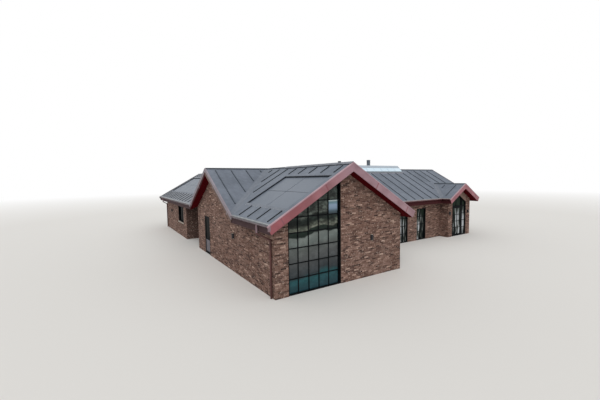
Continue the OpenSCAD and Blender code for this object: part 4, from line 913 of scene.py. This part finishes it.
arrays = {
    "panelLength": 1.765, "panelHeight": 1.145, "panelThick": 0.04, "gap": 0.02, "recess": 0.095,
    "frameWidth": 0.011, "frameProud": 0.003, "frameSeat": 0.0003,
    "edge": 0.0005,                               # clearance of the sheets round the recess
    "upstand": 0.006, "upstandProud": 0.012, "nearUpstandProud": 0.002,
    "apronThick": 0.004,
    "headFlange": 0.035, "sideFlange": 0.03, "flangeThick": 0.008,
    "fields": [(-0.08, 0.9, 2), (13.395, 0.75, 5)],   # start along the wing, run from the ridge, panels in a row
}


def dressArrays():
    a, basis = arrays, slopes["wing west"]
    frames, shadeLiners, aprons = bmesh.new(), bmesh.new(), bmesh.new()
    base = a["panelThick"] - a["recess"] + a["frameSeat"]
    w, rim = a["frameWidth"], base + a["frameProud"]
    sheet, edge, side, seat = a["upstand"], a["edge"], a["sideFlange"], roofSheets["seat"]
    deep, proud = -a["recess"] + edge, a["upstandProud"]
    for start, run, count in a["fields"]:
        begin = run / fall
        for column in range(count):
            for row in range(2):
                s0, d0 = start + column * (a["panelLength"] + a["gap"]), begin + row * (a["panelHeight"] + a["gap"])
                s1, d1 = s0 + a["panelLength"], d0 + a["panelHeight"]
                for first, last in (((s0, d0), (s1, d0 + w)), ((s0, d1 - w), (s1, d1)),
                                    ((s0, d0 + w), (s0 + w, d1 - w)), ((s1 - w, d0 + w), (s1, d1 - w))):
                    addBox(frames, (*first, base), (*last, rim), basis)
        s0, s1 = start - a["gap"], start + count * (a["panelLength"] + a["gap"])
        d0, d1 = begin - a["gap"], begin + 2 * (a["panelHeight"] + a["gap"])
        # dark sheets at the head and north side stand in for the recess's shade; the south side and foot are lined in
        # felt
        for bm, first, last in (
                (shadeLiners, (s0, d0 + edge, deep), (s1, d0 + sheet, proud)),
                (aprons, (s0 + edge, d0 + sheet, deep), (s0 + sheet, d1 - sheet, a["nearUpstandProud"])),
                (shadeLiners, (s1 - sheet, d0 + sheet, deep), (s1 - edge, d1 - sheet, proud)),
                (aprons, (s0, d1 - sheet, deep), (s1, d1 - edge, a["apronThick"])),
                (aprons, (s0, d1 - edge, seat), (s1, d1 + roofSheets["apron"], a["apronThick"])),
                (shadeLiners, (s0 - side, d0 - a["headFlange"], seat), (s1 + side, d0 + edge, a["flangeThick"])),
                (shadeLiners, (s1 - edge, d0, seat), (s1 + side, d1, a["flangeThick"]))):
            addBox(bm, first, last, basis)
    makePiece("panel_frames", frames, panelFrame)
    makePiece("shaded_panel_upstands", shadeLiners, upstandShade)
    makePiece("panel_aprons", aprons, valleyFelt)


makeValleys()
makeDrips()
dressArrays()
print("roof sheets laid")


# Gutters: beads along the outer rims, brackets, end caps

gutters = {
    "radius": 0.058, "rim": 2.7976, "off": 0.438,
    "gap": 0.003,         # between a gutter and a verge board's foot
    "bead": 0.008, "beadIn": 0.002,
    "bracketPitch": 0.6, "bracketWidth": 0.025, "bracketSheet": 0.003, "seat": 0.0003,
    "strap": 0.03, "strapSeat": 0.0005,
    "capEnd": 0.0035, "capRim": 0.004,
    "beadSides": 8, "bracketSides": 8, "capSides": 24,
}


def gutterRuns():
    # Centre lines of each node's runs: start, end, the way out, and whether each end turns a corner
    g, h = gutters, house
    west, east, bayWest, bayEast = (h["west"] - g["off"], h["wingEast"] + g["off"], h["bayWest"] - g["off"],
                                    h["bayEast"] + g["off"])
    south, north = h["mainFront"] - g["off"], h["mainBack"] + g["off"]
    near, far, side = low["zinc_gutters"].y, high["zinc_gutters"].y, high["zinc_gutters"].x
    stop = h["footOut"] + g["gap"]
    bayNear = h["bayFront"] + near - h["front"]
    return {
        "zinc_gutters": [
            ((west, near), (west, h["mainFront"] - stop), (-1, 0), False, False),
            ((west, h["mainBack"] + stop), (west, far), (-1, 0), False, False),
            ((east, north), (east, far), (1, 0), True, False),
            ((east, north), (side, north), (0, 1), True, False),
        ],
        "red_gutters": [
            ((east, near), (east, south), (1, 0), False, True),
            ((east, south), (bayWest, south), (0, -1), True, True),
            ((bayWest, bayNear), (bayWest, south), (-1, 0), False, True),
            ((bayEast, bayNear), (bayEast, south), (1, 0), False, True),
            ((bayEast, south), (side, south), (0, -1), True, False),
        ],
    }


def dressGutters(node, finish):
    g = gutters
    bm = bmesh.new()
    width = g["bracketWidth"]
    for first, last, way, turnsFirst, turnsLast in gutterRuns()[node]:
        start, end = (Vector((*point, g["rim"])) for point in (first, last))
        axis, out, length = (end - start).normalized(), Vector((*way, 0)), (end - start).length
        rim = out * (g["radius"] - g["beadIn"])
        addRod(bm, start + rim + axis * g["radius"] * turnsFirst, end + rim - axis * g["radius"] * turnsLast,
               g["bead"], g["beadSides"])
        count = max(2, round(length / g["bracketPitch"]))
        for index in range(count):
            centre = start + axis * length * (index + 0.5) / count
            addRing(bm, centre, axis, g["radius"] + g["seat"], g["radius"] + g["bracketSheet"], width,
                    fullTurn / 2, out if axis.cross(out).z < 0 else -out, g["bracketSides"])
            addStrip(bm, centre - out * g["radius"], centre - out * (g["radius"] - g["strap"]), (0, 0, 1),
                     (-width / 2, width / 2), (g["strapSeat"], g["bracketSheet"]))
        for tip, onward, turns in ((start, -axis, turnsFirst), (end, axis, turnsLast)):
            if turns:
                continue
            disc = bmesh.new()
            addRod(disc, tip + onward * g["seat"], tip + onward * g["capEnd"], g["radius"] + g["capRim"],
                   g["capSides"])
            cutAway(disc, Vector((0, 0, g["rim"] + g["capRim"])), Vector((0, 0, 1)))
            mergePart(bm, disc)
    makePiece(node + "_fittings", bm, finish)


pipes = {
    "off": -0.438, "clipOff": -0.058,             # centre lines of the outlets and pipes, from the west wall
    "foot": 0.21, "neck": 0.53,                   # how far pipes and outlets stand in from the wings' ends
    "sleeve": (2.44, 2.7385), "sleeveRadius": 0.0395,
    "band": (2.425, 2.445), "bandRadius": 0.0435,
    "clips": (0.5449, 1.6347), "clip": (0.002, 0.028), "clipRadius": 0.0415,
    "sides": 20,
}
footPlate = {"low": (-0.484, -0.4655, 2.612), "high": (-0.37, -0.4605, 2.79), "bevel": 0.0015}


def addCollar(bm, x, y, heights, radius):
    addRod(bm, spot(x, y, heights[0]), spot(x, y, heights[1]), radius, pipes["sides"])


def dressPipes():
    # Zinc sleeves round the outlets, and a collar at each wall clip
    p, length = pipes, house["rear"] - house["front"]
    sleeves, collars = bmesh.new(), bmesh.new()
    for foot, neck in ((p["foot"], p["neck"]), (length - p["foot"], length - p["neck"])):
        addCollar(sleeves, p["off"], neck, p["sleeve"], p["sleeveRadius"])
        addCollar(sleeves, p["off"], neck, p["band"], p["bandRadius"])
        for clip in p["clips"]:
            addCollar(collars, p["clipOff"], foot, [clip + lift for lift in p["clip"]], p["clipRadius"])
    makePiece("outlet_sleeves", sleeves, roseZinc)
    makePiece("pipe_collars", collars, pipeMetal)


def makeFootPlate():
    # Folded zinc plate that closes the gutter's end at the front verge's west foot
    bm = bmesh.new()
    addBox(bm, spot(*footPlate["low"]), spot(*footPlate["high"]), bevel=footPlate["bevel"])
    makePiece("verge_foot_plate", bm, roseZinc)


dressGutters("zinc_gutters", zinc)
dressGutters("red_gutters", wineMetal)
dressPipes()
makeFootPlate()
print("gutters dressed")


# Front window: its panes between the bars

frontWindow = {
    "west": 0.57, "paneWidth": 0.49, "paneHeight": 0.588, "columns": 5, "rows": 8,
    "gap": 0.0015,
    "tilt": 0.05,         # most that a pane shifts what it mirrors, in metres
    "skyPane": (4, 5),    # the pane that mirrors only sky: column, row
    "seed": 3,
}


def makeFrontPanes():
    w = frontWindow
    lowEnd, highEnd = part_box("front_window_glass")
    rng = random.Random(w["seed"])
    bm = bmesh.new()
    tilt, sky = bm.verts.layers.float.new("tilt"), bm.verts.layers.float.new("sky")
    for column in range(w["columns"]):
        for row in range(w["rows"]):
            x, z = w["west"] + column * w["paneWidth"], row * w["paneHeight"]
            first = spot(x + w["gap"], 0, z + w["gap"])
            last = spot(x + w["paneWidth"] - w["gap"], 0, z + w["paneHeight"] - w["gap"])
            first.x, last.x = max(first.x, lowEnd.x), min(last.x, highEnd.x)
            first.y, last.y, first.z = lowEnd.y, highEnd.y, max(first.z, lowEnd.z)
            shift = rng.uniform(-w["tilt"], w["tilt"])
            for vert in addBox(bm, first, last):
                vert[tilt], vert[sky] = shift, 1.0 if (column, row) == w["skyPane"] else 0.0
    cutAway(bm, Vector((highEnd.x, lowEnd.y, highEnd.z)), Vector((-rise, 0, fall)))
    makePiece("front_panes", bm, frontGlazing, ["front_window_glass"])


makeFrontPanes()
print("front window glazed")


# Doors, lamps and the box on the bay's pier

fittings = {
    "panelLow": (0.029, 8.106, 0.151), "panelHigh": (0.0348, 8.824, 0.838),
    "panelField": 0.06, "panelStep": 0.01, "panelRaise": 0.003,
    "railLow": (0.0215, 8.1035, 0.842), "railHigh": (0.0345, 8.8265, 0.9), "railBevel": 0.002,
    "lampHeight": 0.1,    # taller solids of the lamps are their bodies
    "lensInset": 0.012, "lensThick": 0.006,
    "pierBoxLow": (18.145, 2.938, 1.305), "pierBoxHigh": (18.265, 2.9995, 1.41), "pierBoxBevel": 0.004,
    "lidOut": 0.004, "lidThick": 0.008, "lidBevel": 0.002,
}


def makeDoorPanel():
    f = fittings
    bm = bmesh.new()
    addBox(bm, spot(*f["panelLow"]), spot(*f["panelHigh"]))
    bmesh.ops.recalc_face_normals(bm, faces=bm.faces[:])
    bm.normal_update()
    outer = [face for face in bm.faces if face.normal.x < -0.9]   # faces west
    bmesh.ops.inset_region(bm, faces=outer, thickness=f["panelField"], depth=0.0)
    bmesh.ops.inset_region(bm, faces=outer, thickness=f["panelStep"], depth=f["panelRaise"])
    makePiece("west_door_panel", bm, panelPaint, body="west_door")
    bm = bmesh.new()
    addBox(bm, spot(*f["railLow"]), spot(*f["railHigh"]), bevel=f["railBevel"])
    makePiece("west_door_rail", bm, blackSteel, body="west_door")


def makeLampLenses():
    f = fittings
    bm = bmesh.new()
    for a, b in islandBoxes("wall_lamps"):
        if b.z - a.z < f["lampHeight"]:
            continue
        inset = Vector((f["lensInset"], f["lensInset"], 0))
        addBox(bm, a + inset - Vector((0, 0, f["lensThick"])), Vector((b.x, b.y, a.z)) - inset)
        addBox(bm, Vector((a.x, a.y, b.z)) + inset, b - inset + Vector((0, 0, f["lensThick"] / 2)))
    makePiece("lamp_lenses", bm, lampLens)


def makePierBox():
    f = fittings
    bm = bmesh.new()
    first, last, out = spot(*f["pierBoxLow"]), spot(*f["pierBoxHigh"]), f["lidOut"]
    addBox(bm, first, last, bevel=f["pierBoxBevel"])
    addBox(bm, Vector((first.x - out, first.y - out, last.z)), last + Vector((out, 0, f["lidThick"])),
           bevel=f["lidBevel"])
    makePiece("pier_box", bm, wineMetal)


makeDoorPanel()
makeLampLenses()
makePierBox()
print("doors and lamps dressed")


# Lantern, flue and roof vent

lantern = {
    "start": 10.6, "length": 4.5, "bays": 6, "half": 0.45, "capHalf": 0.2, "barHalf": 0.055,
    "glassTop": 5.264, "glassFall": 0.9869,    # upright fall for each metre away from the ridge
    "capWidth": 0.036, "capRise": 0.01, "seat": 0.0003,
    "flashing": 0.12, "flashingThick": 0.004, "edge": 0.0005,
    "fromRidge": 0.08,    # where the flashing of the kerb's ends begins, down the slope
}
flue = {"x": 12.7, "y": 7.9, "roofZ": 4.509, "radius": 0.105, "headRadius": 0.138, "headLow": 5.58, "top": 5.78}
roofVent = {"x": 9.285, "y": 7.38, "roofZ": 4.81, "radius": 0.08, "headRadius": 0.11, "headLow": 5.48, "top": 5.6}
collars = {
    "coneHalf": 0.1, "coneFoot": 0.07, "coneHead": 0.008, "coneSides": 28,   # weathering cone at the roof
    "ringUp": 0.115, "ringIn": 0.0005, "ringOut": 0.014, "ringWidth": 0.02,
    "bandIn": 0.0003, "bandOut": 0.006, "bandWidth": 0.014, "bandUp": 0.008, "bandDown": 0.012,
    "jacketLow": 4.63, "jacketIn": 0.0005, "jacketGap": 0.004, "jacketEnds": 0.001,
}


def dressLantern():
    n, seat = lantern, roofSheets["seat"]
    middle, halfCap = house["ridgeY"] - house["front"], n["capWidth"] / 2
    glassZ = [n["glassTop"] - (reach - n["barHalf"]) * n["glassFall"] for reach in (n["capHalf"], n["half"])]
    s0, s1 = n["start"], n["start"] + n["length"]
    near, thick = n["half"] / fall, n["flashingThick"]
    caps, sheets = bmesh.new(), bmesh.new()
    for side in (-1, 1):
        normal = Vector((0, side * n["glassFall"], 1)).normalized()
        for bay in range(n["bays"] + 1):
            x = min(max(s0 + n["length"] * bay / n["bays"], s0 + halfCap), s1 - halfCap)
            start, end = (spot(x, middle + side * reach, z) for reach, z in zip((n["capHalf"], n["half"]), glassZ))
            addStrip(caps, start, end, normal, (-halfCap, halfCap), (n["seat"], n["capRise"]))
        basis = slopes["main south" if side < 0 else "main north"]
        for first, last in (((s0 - n["flashing"], near + n["edge"]), (s1 + n["flashing"], near + n["flashing"])),
                            ((s0 - n["flashing"], n["fromRidge"]), (s0 - n["edge"], near)),
                            ((s1 + n["edge"], n["fromRidge"]), (s1 + n["flashing"], near))):
            addBox(sheets, (*first, seat), (*last, thick), basis)
    makePiece("lantern_caps", caps, glazingCap)
    makePiece("lantern_flashing", sheets, kerbLead)


def dressFlue():
    c, upright = collars, Vector((0, 0, 1))
    bm, bands, jacket = bmesh.new(), bmesh.new(), bmesh.new()
    for p in (flue, roofVent):
        foot, half = spot(p["x"], p["y"], p["roofZ"]), upright * c["coneHalf"]
        addRod(bm, foot - half, foot + half, p["radius"] + c["coneFoot"], c["coneSides"], p["radius"] + c["coneHead"])
        addRing(bm, foot + upright * c["ringUp"], upright, p["radius"] + c["ringIn"], p["radius"] + c["ringOut"],
                c["ringWidth"], steps=c["coneSides"])
        for z in (p["headLow"] + c["bandUp"], p["top"] - c["bandDown"]):
            addRing(bands, spot(p["x"], p["y"], z), upright, p["headRadius"] + c["bandIn"],
                    p["headRadius"] + c["bandOut"], c["bandWidth"])
    addRing(jacket, spot(flue["x"], flue["y"], (c["jacketLow"] + flue["headLow"]) / 2), upright,
            flue["radius"] + c["jacketIn"], flue["headRadius"] - c["jacketGap"],
            flue["headLow"] - c["jacketLow"] - c["jacketEnds"])
    makePiece("flue_jacket", jacket, flueSteel)
    makePiece("flue_collars", bm, darkMetal)
    makePiece("flue_bands", bands, flueSteel)


dressLantern()
dressFlue()
print("roof fittings dressed")


# Floor, light and backdrop

stage = {
    "half": 300, "floorZ": -0.002, "fadeFrom": 30, "fadeTo": 90,   # metres from the middle
    "fill": 0.72,                                                  # share of the sky's light that lights the house
    "sun": 1.1, "sunAngle": 35, "sunWay": (0.4, 0.58, -0.75),
}


def makeStage():
    # A pale floor that fades into the white backdrop
    add, paint, place = newMaterial("pale floor", Roughness=0.9)
    material = paint("#dedcd8")
    shader, out = (next(node for node in material.node_tree.nodes if node.type == kind)
                   for kind in ("BSDF_PRINCIPLED", "OUTPUT_MATERIAL"))
    reach = add("VectorMath", [place], operation="LENGTH")["Value"]
    fade = add("MapRange", {"Value": reach, "From Min": stage["fadeFrom"], "From Max": stage["fadeTo"]})[0]
    setInputs(out, {"Surface": add("MixShader", [fade, shader.outputs[0], add("Emission")[0]])[0]})
    bm = bmesh.new()
    bmesh.ops.create_grid(bm, x_segments=1, y_segments=1, size=stage["half"])
    mesh = bpy.data.meshes.new("floor")
    bm.to_mesh(mesh)
    bm.free()
    mesh.materials.append(material)
    floor = bpy.data.objects.new("floor", mesh)
    floor.location.z = stage["floorZ"]
    bpy.context.scene.collection.objects.link(floor)


def makeLight():
    # An even white sky, dimmer where it only lights the house, and a soft sun
    world = bpy.data.worlds.new("studio")
    bpy.context.scene.world = world
    world.use_nodes = True
    world.node_tree.nodes.clear()
    add = partial(addNode, world.node_tree)
    rays = add("LightPath")
    seen = add("Math", [rays["Is Camera Ray"], rays["Is Glossy Ray"]], operation="MAXIMUM")[0]
    seen = add("Math", [seen, rays["Is Transmission Ray"]], operation="MAXIMUM")[0]
    strength = add("MapRange", {"Value": seen, "To Min": stage["fill"], "To Max": 1.0})[0]
    sky = add("Background", {"Color": "#ffffff", "Strength": strength})[0]
    add("OutputWorld", {"Surface": sky})
    sun = bpy.data.lights.new("soft sun", "SUN")
    sun.energy = stage["sun"]
    sun.angle = math.radians(stage["sunAngle"])
    lamp = bpy.data.objects.new("soft sun", sun)
    lamp.rotation_mode = "QUATERNION"
    lamp.rotation_quaternion = Vector(stage["sunWay"]).to_track_quat("-Z", "Y")
    bpy.context.scene.collection.objects.link(lamp)


makeStage()
makeLight()
print("stage and light set")
